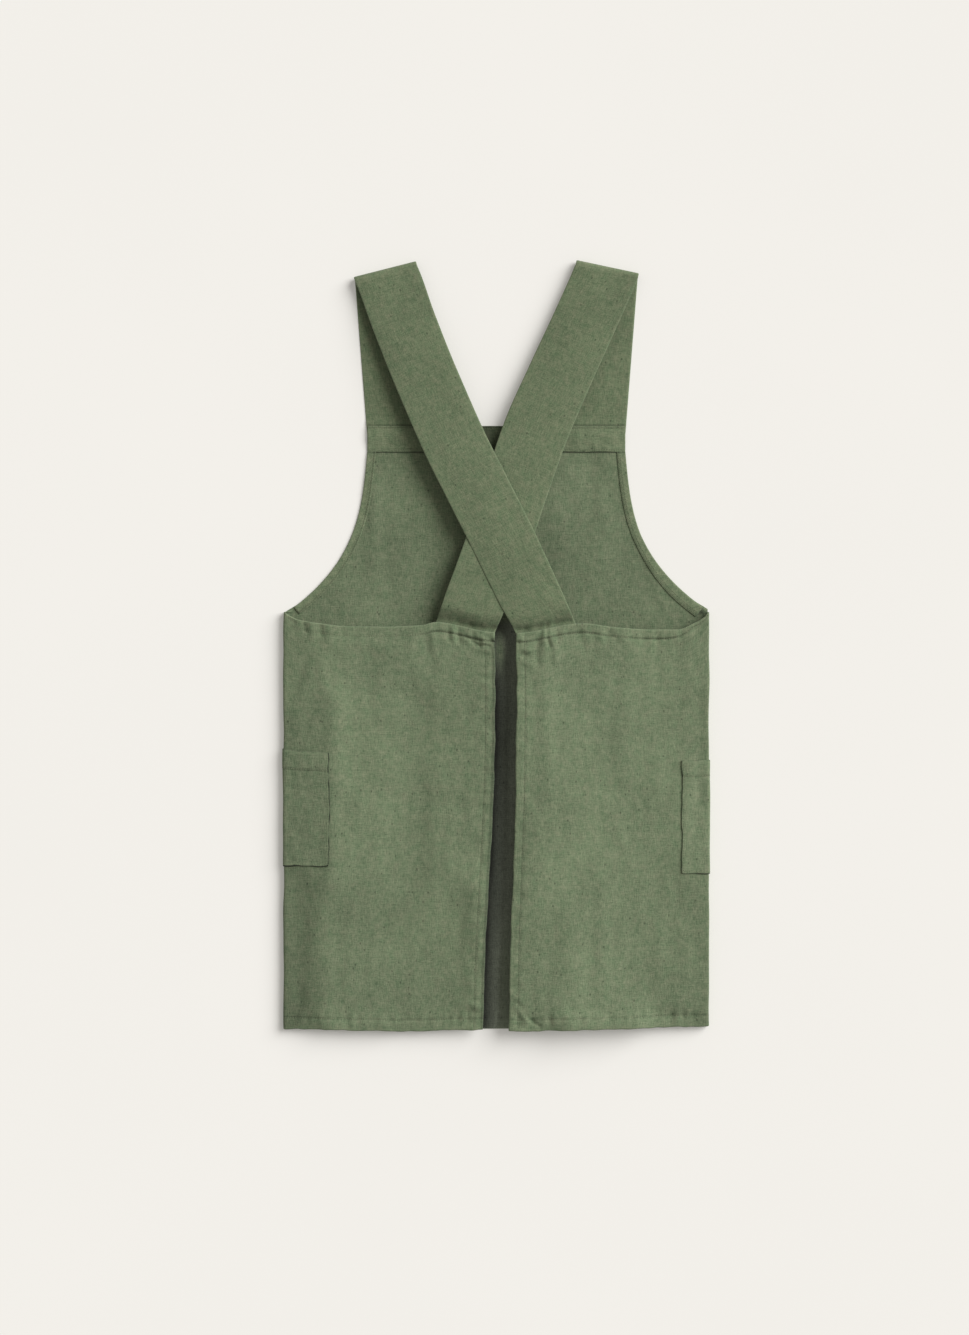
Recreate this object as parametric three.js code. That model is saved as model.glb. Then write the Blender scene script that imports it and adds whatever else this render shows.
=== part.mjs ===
// A cross-back work apron in washed linen, laid on its front so that its back and its crossed straps show.
// Millimetres. +X runs to the right of that view, +Y from the hem to the shoulders, +Z up from the surface.
// One cloth wraps round the body: a front with a bib, rounded side folds and two backs that leave a slit.
// Doubled straps rise from the bib, fold over at the shoulders, cross, and go under the top edge of the backs.
import * as THREE from "three";

// Cloth
const clothThickness = 1;
const strapThickness = 1.6;
const layerGap = 0.3;
const linenColour = 0x6f7b61;
const linenRoughness = 0.92;

// Body
const bodyWidth = 574;
const waistHeight = 561;
const bibRise = 251;
const bibWidth = 349;
const narrowHem = 12.5;
const hemStep = 0.5;
const hemWave = 4;
const waistDip = 28;

// How high the laid cloth stands at the side folds and along the slit
const sideLoft = 12;
const leftSlitLoft = 20;
const rightSlitLoft = 24;
const dentDepth = 2;

// Slit between the backs
const slitTopWidth = 30;
const slitTopOffset = 12.5;
const slitHemWidth = 36;
const slitHemOffset = 0;

// Facings inside the front
const bibFacingHeight = 34;
const armholeFacingWidth = 11;
const armholeFacingEnd = 0.97;
const facingSlope = 10;

// Straps
const strapWidth = 84.5;
const strapTuck = 12;
const shoulderSpan = 300;
const shoulderRise = 214;
const crossLoft = 28;
const strapCrown = 0.8;
const seamRun = 24;

// Along a strap's back run, where it lies square to its way, and from where it slants to its seam
const squareBy = 0.25;
const slantFrom = 0.7;

// Pockets
const pocketWidth = 165;
const pocketHeight = 152;
const pocketMouthPuff = 1.2;

// The front rises over a pocket that lies under it: the slope's length, and how far from the pocket it starts
const liftRun = 14;
const liftMargin = 4;

// The grid of each cloth: the longest step along it, the longest where it curves, and the cells round a fold.
const coarseStep = 44;
const fineStep = 20;
const foldCells = 6;
const strapColumns = [-1, -0.5, 0, 0.5, 1];

// The armhole widens from the bib's facing to the waist: partly in a straight line, and the rest by a power.
const armholeLinearShare = 0.18;
const armholePower = 3.2;

// Across a back, from the side fold (0) to the slit (1): how far each back has risen to its loft at the slit.
const backProfile = [
  { across: 0, left: 0, right: 0 },
  { across: 0.14, left: 0.34, right: 0.12 },
  { across: 0.3, left: 0.46, right: 0.2 },
  { across: 0.5, left: 0.44, right: 0.4 },
  { across: 0.75, left: 0.66, right: 0.8 },
  { across: 0.9, left: 0.88, right: 0.98 },
  { across: 1, left: 1, right: 1 },
];

// Up a back, from the hem (0) to the waist (1): the share of the slit's loft that is left there.
const loftUp = [
  { up: 0, left: 0.55, right: 0.5 },
  { up: 0.3, left: 0.6, right: 0.75 },
  { up: 0.65, left: 0.8, right: 0.9 },
  { up: 1, left: 1, right: 1 },
];

// The top edge of each back, as shares of waistDip below the waist corner.
const waistEdge = [
  { across: 0, left: 0, right: 0.05 },
  { across: 0.07, left: 0.38, right: 0.5 },
  { across: 0.17, left: 0.56, right: 0.86 },
  { across: 0.3, left: 0.7, right: 0.86 },
  { across: 0.5, left: 0.72, right: 0.74 },
  { across: 0.66, left: 0.64, right: 0.56 },
  { across: 0.72, left: 0.5, right: 0.6 },
  { across: 1, left: 0.98, right: 1.03 },
];

// The bottom edge of each back, as shares of hemWave below the front's hem.
const hemEdge = [
  { across: 0, left: -0.1, right: -0.33 },
  { across: 0.33, left: 0.68, right: 0.07 },
  { across: 0.6, left: 0.68, right: 0.5 },
  { across: 1, left: 0, right: 1.15 },
];

// Soft dents and swells of the backs: place and size as shares of the back, depth as a share of dentDepth.
const backDents = [
  { side: -1, across: 0.22, up: 0.42, wide: 0.2, tall: 0.34, depth: 0.7 },
  { side: -1, across: 0.5, up: 0.16, wide: 0.26, tall: 0.16, depth: -0.8 },
  { side: -1, across: 0.62, up: 0.62, wide: 0.24, tall: 0.22, depth: -0.6 },
  { side: -1, across: 0.16, up: 0.05, wide: 0.16, tall: 0.1, depth: 0.6 },
  { side: 1, across: 0.2, up: 0.2, wide: 0.18, tall: 0.2, depth: -0.9 },
  { side: 1, across: 0.45, up: 0.34, wide: 0.24, tall: 0.3, depth: 0.6 },
  { side: 1, across: 0.7, up: 0.1, wide: 0.2, tall: 0.12, depth: -0.5 },
  { side: 1, across: 0.35, up: 0.75, wide: 0.26, tall: 0.18, depth: -0.5 },
];

// Along each strap's back run, from the shoulder fold (0) to its seam (1). Sway is in strap widths, loft in
// crossLoft, width in strapWidth. The strap of the left shoulder lies over the other where they cross.
const leftStrapRun = [
  { along: 0, sway: 0, loft: 0.46, width: 1 },
  { along: 0.14, sway: -0.06, loft: 0.53, width: 1 },
  { along: 0.3, sway: -0.1, loft: 0.62, width: 1 },
  { along: 0.45, sway: -0.1, loft: 0.74, width: 1 },
  { along: 0.6, sway: -0.07, loft: 0.88, width: 1 },
  { along: 0.75, sway: -0.04, loft: 0.98, width: 1 },
  { along: 0.9, sway: -0.02, loft: 1, width: 0.98 },
  { along: 1, sway: 0, loft: 0.97, width: 0.93 },
];
const rightStrapRun = [
  { along: 0, sway: 0, loft: 0.46, width: 1 },
  { along: 0.14, sway: 0.03, loft: 0.48, width: 1 },
  { along: 0.3, sway: 0.065, loft: 0.53, width: 1 },
  { along: 0.45, sway: 0.07, loft: 0.6, width: 1 },
  { along: 0.6, sway: 0.04, loft: 0.7, width: 1 },
  { along: 0.75, sway: 0.01, loft: 0.8, width: 1 },
  { along: 0.9, sway: 0, loft: 0.85, width: 0.98 },
  { along: 1, sway: 0, loft: 0.84, width: 0.93 },
];

// Each strap folds over at its shoulder along a line that slants down outwards by slant degrees. Its fold is
// at a share, rise, of shoulderRise above the bib.
const straps = [
  { name: "strap_left", side: -1, slant: 14.3, rise: 0.985, run: leftStrapRun },
  { name: "strap_right", side: 1, slant: 12, rise: 1, run: rightStrapRun },
];

// A pocket wraps its side fold. backShow is the width that shows on the back, as a share of pocketWidth,
// bottom is the height of its lower edge as a share of waistHeight, and tilt lifts its outer edge.
const pockets = [
  { name: "pocket_left", side: -1, backShow: 0.37, bottom: 0.388, tilt: 0.06 },
  { name: "pocket_right", side: 1, backShow: 0.225, bottom: 0.373, tilt: 0 },
];

// Sizes that follow from the ones above
const halfCloth = clothThickness / 2;
const halfWidth = bodyWidth / 2;
const foldRadius = (sideLoft - clothThickness) / 2;
const foldArc = (foldRadius * Math.PI) / 2;
const foldX = halfWidth - foldRadius;
const bibTop = waistHeight + bibRise;
const facingBottom = bibTop - bibFacingHeight;
const layerPitch = clothThickness + layerGap;
const facingStrapEdge = bibWidth / 2 - strapWidth - layerGap;
const facingStrapEnd = bibTop - strapTuck - layerGap;
const pocketFrontReach = Math.max(...pockets.map((pocket) => pocketReach(pocket).front));
const pocketBottoms = pockets.map((pocket) => pocket.bottom * waistHeight);
const pocketTops = pockets.map((pocket, k) => pocketBottoms[k] + pocketHeight + pocket.tilt * pocketWidth);
const liftBottom = Math.min(...pocketBottoms) - liftMargin;
const liftTop = Math.max(...pocketTops) + liftMargin;

function mix(a, b, share) {
  return a + (b - a) * share;
}

function smooth(share) {
  const t = Math.min(Math.max(share, 0), 1);
  return t * t * (3 - 2 * t);
}

// Reads one column of a table at a place between its rows, along a smooth curve that doesn't overshoot.
function readTable(table, place, column, at) {
  const last = table.length - 1;
  const t = Math.min(Math.max(at, table[0][place]), table[last][place]);
  let k = 0;
  while (k < last - 1 && table[k + 1][place] < t) k++;
  const slope = (i) => {
    if (i <= 0 || i >= last) return 0;
    const before = (table[i][column] - table[i - 1][column]) / (table[i][place] - table[i - 1][place]);
    const after = (table[i + 1][column] - table[i][column]) / (table[i + 1][place] - table[i][place]);
    return before * after <= 0 ? 0 : (2 * before * after) / (before + after);
  };
  const span = table[k + 1][place] - table[k][place];
  const s = (t - table[k][place]) / span;
  const rise = table[k + 1][column] - table[k][column];
  const a = slope(k) * span - rise;
  const b = rise - slope(k + 1) * span;
  return table[k][column] + s * rise + s * (1 - s) * (a * (1 - s) + b * s);
}

// Key places and the places between them, no more than a step apart.
function stations(keys, step) {
  const sorted = [...keys].sort((a, b) => a - b);
  const places = [sorted[0]];
  for (const key of sorted.slice(1)) {
    const from = places[places.length - 1];
    const cells = Math.ceil((key - from) / step - 1e-6);
    for (let k = 1; k <= cells; k++) places.push(mix(from, key, k / cells));
  }
  return places;
}

const sideName = (side) => (side < 0 ? "left" : "right");

// The slit's edge on one side at height y.
function slitEdge(side, y) {
  const up = smooth(y / (waistHeight * 0.72));
  const middle = mix(slitHemOffset, slitTopOffset, up);
  return middle + (side * mix(slitHemWidth, slitTopWidth, up)) / 2;
}

// How far across a back a place lies, from 0 at the side fold to 1 at the slit.
function acrossBack(side, x, y) {
  const share = (halfWidth - side * x) / (halfWidth - side * slitEdge(side, y));
  return Math.min(Math.max(share, 0), 1);
}

function waistLine(side, across) {
  return waistHeight - waistDip * readTable(waistEdge, "across", sideName(side), across);
}

// How far a pocket reaches round its side fold, measured along the cloth to the back and to the front.
function pocketReach(pocket) {
  const back = foldArc + pocket.backShow * pocketWidth - foldRadius;
  return { back, front: pocketWidth - back };
}

// Middle height of the front cloth: flat on the surface, lifted where a pocket lies under it.
function frontHeight(girth, y) {
  const beside = smooth((pocketFrontReach + liftMargin + liftRun - Math.abs(girth)) / liftRun);
  const above = smooth((y - liftBottom + liftRun) / liftRun);
  const below = smooth((liftTop + liftRun - y) / liftRun);
  return halfCloth + layerPitch * beside * above * below;
}

// Middle height of a back.
function backHeight(side, x, y) {
  const across = acrossBack(side, x, y);
  const up = y / waistHeight;
  const slitLoft = side < 0 ? leftSlitLoft : rightSlitLoft;
  const rise = (slitLoft - sideLoft) * readTable(loftUp, "up", sideName(side), up);
  let height = sideLoft - halfCloth + rise * readTable(backProfile, "across", sideName(side), across);
  for (const dent of backDents) {
    if (dent.side !== side) continue;
    const far = ((across - dent.across) / dent.wide) ** 2 + ((up - dent.up) / dent.tall) ** 2;
    height += dentDepth * dent.depth * Math.exp(-far) * smooth(across / 0.12);
  }
  return height;
}

// A point of the body's cloth. girth is measured along the cloth from the outermost line of the side fold:
// above 0 over the back, below 0 under the front.
function bodyPoint(side, girth, y) {
  const past = Math.abs(girth) - foldArc;
  if (past >= 0) {
    const x = side * (foldX - past);
    return new THREE.Vector3(x, y, girth > 0 ? backHeight(side, x, y) : frontHeight(girth, y));
  }
  const angle = girth / (foldArc / (Math.PI / 2));
  const low = frontHeight(-foldArc, y);
  const high = backHeight(side, side * foldX, y);
  const z = mix(low, high, (1 + Math.sin(angle)) / 2);
  return new THREE.Vector3(side * (foldX + foldRadius * Math.cos(angle)), y, z);
}

// The unit normal of the cloth's right side there, which faces away from the wearer.
function bodyNormal(side, girth, y) {
  const reach = 0.5;
  const along = bodyPoint(side, girth + reach, y).sub(bodyPoint(side, girth - reach, y));
  const up = bodyPoint(side, girth, y + reach).sub(bodyPoint(side, girth, y - reach));
  return along.cross(up).multiplyScalar(-side).normalize();
}

// A closed solid from a grid of points on the middle of a cloth. Each point has its place, its normal, and how
// far the right side (outer) and the wrong side (inner) lie from it. A cell with a missing corner is left open.
function clothSolid(grid) {
  const ids = new Map();
  const places = [];
  for (const row of grid) {
    for (const point of row) {
      if (!point) continue;
      ids.set(point, places.length / 2);
      places.push(point.place.clone().addScaledVector(point.normal, point.outer));
      places.push(point.place.clone().addScaledVector(point.normal, -point.inner));
    }
  }
  const faces = [];
  const edges = new Map();
  for (let i = 0; i + 1 < grid.length; i++) {
    for (let j = 0; j + 1 < grid[i].length; j++) {
      const cell = [grid[i][j], grid[i + 1][j], grid[i + 1][j + 1], grid[i][j + 1]];
      if (cell.some((point) => !point)) continue;
      const [a, b, c, d] = cell.map((point) => 2 * ids.get(point));
      faces.push([a, b, c], [a, c, d], [a + 1, c + 1, b + 1], [a + 1, d + 1, c + 1]);
      for (const [from, to] of [[a, b], [b, c], [c, d], [d, a]]) {
        if (edges.has(`${to} ${from}`)) edges.delete(`${to} ${from}`);
        else edges.set(`${from} ${to}`, [from, to]);
      }
    }
  }
  for (const [from, to] of edges.values()) {
    faces.push([to, from, from + 1], [to, from + 1, to + 1]);
  }
  let volume = 0;
  for (const [a, b, c] of faces) volume += places[a].dot(places[b].clone().cross(places[c]));
  if (volume < 0) faces.forEach((face) => face.reverse());
  const geometry = new THREE.BufferGeometry().setFromPoints(places);
  geometry.setIndex(faces.flat());
  return geometry;
}

function clothMesh(name, grid) {
  const linen = new THREE.MeshStandardMaterial({ color: linenColour, roughness: linenRoughness, metalness: 0 });
  const mesh = new THREE.Mesh(clothSolid(grid), linen);
  mesh.name = name;
  return mesh;
}

// The armhole's edge, from the bib's facing (0) to the waist (1), on the +X side.
function armholePoint(share) {
  const out = armholeLinearShare * share + (1 - armholeLinearShare) * share ** armholePower;
  const x = mix(bibWidth / 2, foldX, out);
  return new THREE.Vector2(x, mix(facingBottom, waistHeight, share));
}

// Half the front's width at height y.
function frontHalfWidth(y) {
  if (y >= facingBottom) return bibWidth / 2;
  if (y <= waistHeight) return foldX;
  return armholePoint((facingBottom - y) / (facingBottom - waistHeight)).x;
}

// One side's columns of the body's grid, from the slit round the side fold to the middle of the front.
function sideColumns(side) {
  const backShares = stations([0, 0.12, 1], coarseStep / halfWidth).slice(1, -1);
  const foldAngles = Array.from({ length: foldCells }, (_, k) => 1 - (2 * k) / foldCells);
  const liftEdge = foldX + foldArc - pocketFrontReach - liftMargin;
  const frontKeys = [0, (liftEdge - liftRun) / foldX, liftEdge / foldX, 1];
  const frontShares = stations(frontKeys, coarseStep / foldX);
  return [
    { side, part: "back", inset: 0, hem: true },
    { side, part: "back", inset: narrowHem, hem: true },
    { side, part: "back", inset: narrowHem + hemStep },
    ...backShares.reverse().map((share) => ({ side, part: "back", share })),
    ...foldAngles.map((angle) => ({ side, part: "fold", angle })),
    ...frontShares.reverse().map((share) => ({ side, part: "front", share })),
  ];
}

// The rows of the body's grid: each back drops from its hem to hemEdge and from its waist to waistEdge.
function bodyRows() {
  const hemTop = narrowHem + hemStep;
  const waistHem = waistHeight - narrowHem;
  const skirtKeys = [0, narrowHem, hemTop, liftBottom - liftRun, liftBottom, liftTop, liftTop + liftRun];
  skirtKeys.push(waistHem - hemStep, waistHem, waistHeight);
  const bibRows = stations([waistHeight, facingBottom, bibTop], fineStep).slice(1);
  return [...stations(skirtKeys, coarseStep), ...bibRows];
}

// A back's edges wander from the front's: this is the height on the back of the row that starts at y.
function backRowHeight(side, across, y) {
  const hemShare = 1 - smooth((y - narrowHem) / (liftBottom - liftRun - narrowHem));
  const waistShare = smooth((y - liftTop - liftRun) / (waistHeight - narrowHem - hemStep - liftTop - liftRun));
  const hemDrop = hemWave * readTable(hemEdge, "across", sideName(side), across);
  return y - hemShare * hemDrop - waistShare * (waistHeight - waistLine(side, across));
}

function bodyVertex(column, y) {
  const { side, part } = column;
  if (y > waistHeight && part !== "front") return null;
  let hem = y <= narrowHem;
  let girth = column.angle * foldArc;
  let height = y;
  if (part === "front") girth = -(foldArc + foldX - column.share * frontHalfWidth(y));
  if (part === "back") {
    const edge = slitEdge(side, y);
    const x = column.inset === undefined ? mix(side * foldX, edge, column.share) : edge + side * column.inset;
    girth = foldArc + foldX - side * x;
    height = backRowHeight(side, acrossBack(side, x, y), y);
    hem = hem || column.hem || y >= waistHeight - narrowHem;
  }
  const place = bodyPoint(side, girth, height);
  const normal = bodyNormal(side, girth, height);
  return { place, normal, outer: halfCloth, inner: hem ? halfCloth + clothThickness : halfCloth };
}

// The body: one cloth from the slit's left edge round the left fold, the front and the right fold to the slit.
function bodyMesh() {
  const columns = [...sideColumns(-1), ...sideColumns(1).reverse().slice(1)];
  const rows = bodyRows();
  return clothMesh("body", columns.map((column) => rows.map((y) => bodyVertex(column, y))));
}

// A point of a cloth that lies level at height z.
function levelVertex(x, y, z) {
  const place = new THREE.Vector3(x, y, z);
  return { place, normal: new THREE.Vector3(0, 0, 1), outer: halfCloth, inner: halfCloth };
}

// How much a strap's tucked end lifts what lies on it at the top of the bib, from 0 to 1.
function overStrap(x, y) {
  const beside = smooth((Math.abs(x) - facingStrapEdge) / facingSlope + 1);
  const above = smooth((y - facingStrapEnd) / facingSlope + 1);
  return beside * above;
}

// The facing along the bib's top edge, which holds the ends of the straps.
function bibFacingMesh() {
  const level = facingStrapEdge - facingSlope;
  const halfKeys = [0, level, facingStrapEdge, bibWidth / 2];
  const across = stations([...halfKeys.slice(1).map((key) => -key), ...halfKeys], coarseStep);
  const up = stations([facingBottom, facingStrapEnd - facingSlope, facingStrapEnd, bibTop], facingSlope / 2);
  const onCloth = halfCloth + layerPitch;
  const onStrap = strapThickness + layerGap;
  const vertex = (x, y) => levelVertex(x, y, onCloth + onStrap * overStrap(x, y));
  return clothMesh("bib_facing", across.map((x) => up.map((y) => vertex(x, y))));
}

// The narrow facing along one armhole.
function armholeFacingMesh(side) {
  const shares = stations([0, armholeFacingEnd], armholeFacingEnd / 16);
  const grid = shares.map((share) => {
    const edge = armholePoint(share);
    const ahead = armholePoint(share + 0.01).sub(edge);
    const inward = share === 0 ? new THREE.Vector2(-1, 0) : new THREE.Vector2(ahead.y, -ahead.x).normalize();
    return [0, 0.5, 1].map((part) => {
      const at = edge.clone().addScaledVector(inward, part * armholeFacingWidth);
      return levelVertex(side * at.x, Math.min(at.y, facingBottom - layerGap), halfCloth + layerPitch);
    });
  });
  return clothMesh(`armhole_facing_${sideName(side)}`, grid);
}

// A pocket lies on the right side of the cloth, round the side fold.
function pocketMesh(pocket) {
  const { back, front } = pocketReach(pocket);
  const fold = Array.from({ length: foldCells + 1 }, (_, k) => (1 - (2 * k) / foldCells) * foldArc);
  const girths = [...stations([foldArc, back], fineStep).reverse().slice(0, -1), ...fold];
  girths.push(...stations([foldArc, front], coarseStep).slice(1).map((girth) => -girth));
  const shares = stations([0, 1], fineStep / pocketHeight);
  const grid = girths.map((girth) =>
    shares.map((share) => {
      const onBack = Math.max(girth, 0) / back;
      const tilt = pocket.tilt * pocketWidth * (1 - onBack);
      const y = pocket.bottom * waistHeight + share * (pocketHeight + tilt);
      const mouth = pocketMouthPuff * smooth((share - 0.6) / 0.4) * Math.sin(Math.PI * onBack);
      const normal = bodyNormal(pocket.side, girth, y);
      const place = bodyPoint(pocket.side, girth, y).addScaledVector(normal, layerPitch + mouth);
      return { place, normal, outer: halfCloth, inner: halfCloth };
    }),
  );
  return clothMesh(pocket.name, grid);
}

// The height of a strap's middle where it lies under the top hem of a back.
function underBack(side, x, y) {
  const hemInside = halfCloth + clothThickness;
  return backHeight(side, x, y) - hemInside - layerGap - strapThickness / 2;
}

// Where a strap runs, seen from above: from start at the bib, to foldAxis at the shoulder, to end at its seam.
function strapPlan(strap) {
  const { side, run } = strap;
  const slant = (strap.slant * Math.PI) / 180;
  const foldWay = new THREE.Vector2(Math.cos(slant), -side * Math.sin(slant));
  const outward = new THREE.Vector2(-foldWay.y, foldWay.x);
  const radius = (crossLoft * run[0].loft - strapThickness) / 2;
  const shoulder = new THREE.Vector2((side * shoulderSpan) / 2, bibTop + shoulderRise * strap.rise);
  const foldAxis = shoulder.addScaledVector(outward, -radius);
  const start = new THREE.Vector2((side * (bibWidth - strapWidth)) / 2, bibTop - strapTuck);
  const seam = (x) => new THREE.Vector2(x, waistLine(-side, acrossBack(-side, x, waistHeight)));
  const endWidth = strapWidth * run[run.length - 1].width;
  const seamInner = slitEdge(-side, waistHeight);
  const end = seam(seamInner - (side * endWidth) / 2);
  const seamWay = seam(seamInner - side * endWidth).sub(seam(seamInner)).multiplyScalar(-side).normalize();
  return { foldWay, outward, radius, foldAxis, start, end, seamWay };
}

// A row across a strap: its middle, half its width as a vector, and its height. Its width is square to its path.
function strapRow(part, middle, way, path, z, widthShare = 1) {
  const skew = way.dot(path) / path.length();
  const half = way.clone().multiplyScalar((strapWidth * widthShare) / 2 / Math.sqrt(1 - skew * skew));
  return { part, middle, half, z };
}

function strapFrontRows(plan) {
  const path = plan.foldAxis.clone().sub(plan.start);
  const length = path.length();
  const keys = [0, strapTuck, strapTuck + layerGap, strapTuck + liftRun, length];
  return stations(keys, coarseStep).slice(0, -1).map((along) => {
    const way = new THREE.Vector2(1, 0).lerp(plan.foldWay, smooth(along / length)).normalize();
    const middle = plan.start.clone().addScaledVector(path, along / length);
    return strapRow("front", middle, way, path, strapThickness / 2);
  });
}

function strapFoldRows(strap, plan) {
  const path = plan.foldAxis.clone().sub(plan.start);
  const top = crossLoft * strap.run[0].loft - strapThickness / 2;
  return Array.from({ length: foldCells + 1 }, (_, k) => {
    const angle = (k / foldCells - 0.5) * Math.PI;
    const middle = plan.foldAxis.clone().addScaledVector(plan.outward, plan.radius * Math.cos(angle));
    const z = mix(strapThickness / 2, top, (1 + Math.sin(angle)) / 2);
    return strapRow("fold", middle, plan.foldWay, path, z);
  });
}

function strapBackRows(strap, plan) {
  const path = plan.end.clone().sub(plan.foldAxis);
  const length = path.length();
  const square = new THREE.Vector2(-path.y, path.x).normalize();
  const swayWay = square.clone().multiplyScalar(-strap.side);
  const alongs = stations([0, length - seamRun], fineStep).slice(1);
  alongs.push(...stations([length - seamRun, length, length + strapTuck], seamRun / 3).slice(1));
  return alongs.map((along) => {
    const share = along / length;
    const read = (column) => readTable(strap.run, "along", column, share);
    const middle = plan.foldAxis.clone().addScaledVector(path, share);
    middle.addScaledVector(swayWay, strapWidth * read("sway"));
    const way = plan.foldWay.clone().lerp(square, smooth(share / squareBy));
    way.lerp(plan.seamWay, smooth((share - slantFrom) / (1 - slantFrom))).normalize();
    const z = crossLoft * read("loft") - strapThickness / 2;
    return strapRow("back", middle, way, path, z, read("width"));
  });
}

// The height of a point of a strap: over the bib's cloth, free, or pushed down under the top hem of a back.
function strapHeight(strap, row, x, y, across) {
  if (row.part === "fold") return row.z;
  if (row.part === "front") return row.z + layerPitch * smooth((bibTop + layerGap + liftRun - y) / liftRun);
  const crown = strapCrown * (1 - across * across) * smooth((y - waistHeight) / seamRun);
  const above = y - waistLine(-strap.side, acrossBack(-strap.side, x, waistHeight));
  return mix(row.z + crown, underBack(-strap.side, x, y), smooth(1 - (above - layerGap) / seamRun));
}

// A strap: doubled cloth from the bib's facing, over the shoulder fold, to its seam in the other side's back.
function strapMesh(strap) {
  const plan = strapPlan(strap);
  const rows = [...strapFrontRows(plan), ...strapFoldRows(strap, plan), ...strapBackRows(strap, plan)];
  const surface = rows.map((row) =>
    strapColumns.map((across) => {
      const x = row.middle.x + row.half.x * across;
      const y = row.middle.y + row.half.y * across;
      return new THREE.Vector3(x, y, strapHeight(strap, row, x, y, across));
    }),
  );
  const lastRow = surface.length - 1;
  const grid = surface.map((row, i) =>
    row.map((place, j) => {
      const along = surface[Math.min(i + 1, lastRow)][j].clone().sub(surface[Math.max(i - 1, 0)][j]);
      const across = row[Math.min(j + 1, row.length - 1)].clone().sub(row[Math.max(j - 1, 0)]);
      const normal = across.cross(along).normalize();
      return { place, normal, outer: strapThickness / 2, inner: strapThickness / 2 };
    }),
  );
  return clothMesh(strap.name, grid);
}

const apron = new THREE.Group();
apron.add(bodyMesh(), bibFacingMesh());
for (const side of [-1, 1]) apron.add(armholeFacingMesh(side));
for (const pocket of pockets) apron.add(pocketMesh(pocket));
for (const strap of straps) apron.add(strapMesh(strap));

// The origin is under the middle of the laid apron, on the surface.
const laid = new THREE.Box3().setFromObject(apron);
apron.position.set(0, -(laid.min.y + laid.max.y) / 2, 0);

export default apron;
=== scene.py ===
"""A cross back apron of washed linen, laid on its front on a pale table and seen from above.

The frame holds the apron's pieces at their real size. This script lays a finely modelled cloth over each of
them: the body with its hems and folds, the facings, the doubled straps, the pockets and every stitch.
Lengths are in millimetres, +Z up from the table, and turn to metres where a mesh is made.
"""

from __future__ import annotations

import logging
import math
from dataclasses import dataclass, field
from enum import Enum

import bpy
import numpy as np
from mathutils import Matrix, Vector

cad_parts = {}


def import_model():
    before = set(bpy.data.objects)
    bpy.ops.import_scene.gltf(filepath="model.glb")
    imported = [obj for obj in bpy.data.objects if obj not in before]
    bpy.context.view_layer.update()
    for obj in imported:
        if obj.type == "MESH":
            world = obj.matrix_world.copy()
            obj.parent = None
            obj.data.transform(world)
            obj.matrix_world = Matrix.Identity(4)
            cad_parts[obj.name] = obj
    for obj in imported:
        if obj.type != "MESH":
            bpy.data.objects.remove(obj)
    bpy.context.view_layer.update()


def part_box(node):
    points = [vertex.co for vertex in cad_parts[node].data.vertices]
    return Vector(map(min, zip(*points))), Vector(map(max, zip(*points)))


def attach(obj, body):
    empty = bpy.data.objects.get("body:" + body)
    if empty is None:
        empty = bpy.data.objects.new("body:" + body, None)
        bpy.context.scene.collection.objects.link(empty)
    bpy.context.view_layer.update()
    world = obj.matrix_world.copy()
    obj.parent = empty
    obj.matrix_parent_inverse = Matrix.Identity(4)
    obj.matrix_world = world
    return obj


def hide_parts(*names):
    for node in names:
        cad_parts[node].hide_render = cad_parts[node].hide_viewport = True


LOG = logging.getLogger("apron")
MM = 0.001
RIM_ROUNDNESS = 0.8
RUB_AND_SHADE_THROUGH = 0.5
GRID_SLACK = 0.01
FRONT_RUN, FOLD_RUN, BACK_RUN = 0, 1, 2
BODY = "root"

Array = np.ndarray
FoldRow = tuple[float, float, float, float, float, float]


class Side(Enum):
    """A side of the apron, as the camera sees it."""

    LEFT = -1
    RIGHT = 1

    @property
    def other(self) -> Side:
        """The opposite side."""
        return Side(-self.value)

    @property
    def label(self) -> str:
        """The side in the names of pieces and nodes."""
        return self.name.lower()


class Slot(Enum):
    """The record's material slots."""

    BODY = "body_linen"
    FACING = "facing_linen"
    STRAP = "strap_linen"
    POCKET = "pocket_linen"


def linear(hex_colour: str) -> tuple[float, float, float, float]:
    """Turns an sRGB hex colour to linear.

    Args:
        hex_colour: Six hex digits after a #.

    Returns:
        Linear red, green and blue, and an alpha of 1.
    """
    parts = [int(hex_colour[k : k + 2], 16) / 255 for k in (1, 3, 5)]
    turned = [c / 12.92 if c <= 0.04045 else ((c + 0.055) / 1.055) ** 2.4 for c in parts]
    return (turned[0], turned[1], turned[2], 1.0)


def smooth(share: Array | float) -> Array:
    """Eases a share from 0 to 1, flat at both ends."""
    t = np.clip(share, 0.0, 1.0)
    return t * t * (3 - 2 * t)


def mix(a: Array | float, b: Array | float, share: Array | float) -> Array:
    """Blends a into b by a share."""
    return a + (b - a) * share


def hump(distance: Array, width: float) -> Array:
    """A soft bump of height 1 that fades over a width."""
    return np.exp(-((distance / width) ** 2))


def spread(keys: list[float], steps: list[float]) -> Array:
    """Places between key places.

    Args:
        keys: Key places in rising order.
        steps: The longest step in each stretch between two keys.

    Returns:
        The keys and the places between them.
    """
    places = [np.array([keys[0]])]
    for low, high, step in zip(keys, keys[1:], steps):
        places.append(np.linspace(low, high, max(1, math.ceil((high - low) / step)) + 1)[1:])
    return np.concatenate(places)


def unit(vectors: Array) -> Array:
    """Scales vectors to length 1."""
    return vectors / np.maximum(np.linalg.norm(vectors, axis=-1, keepdims=True), 1e-9)


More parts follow.
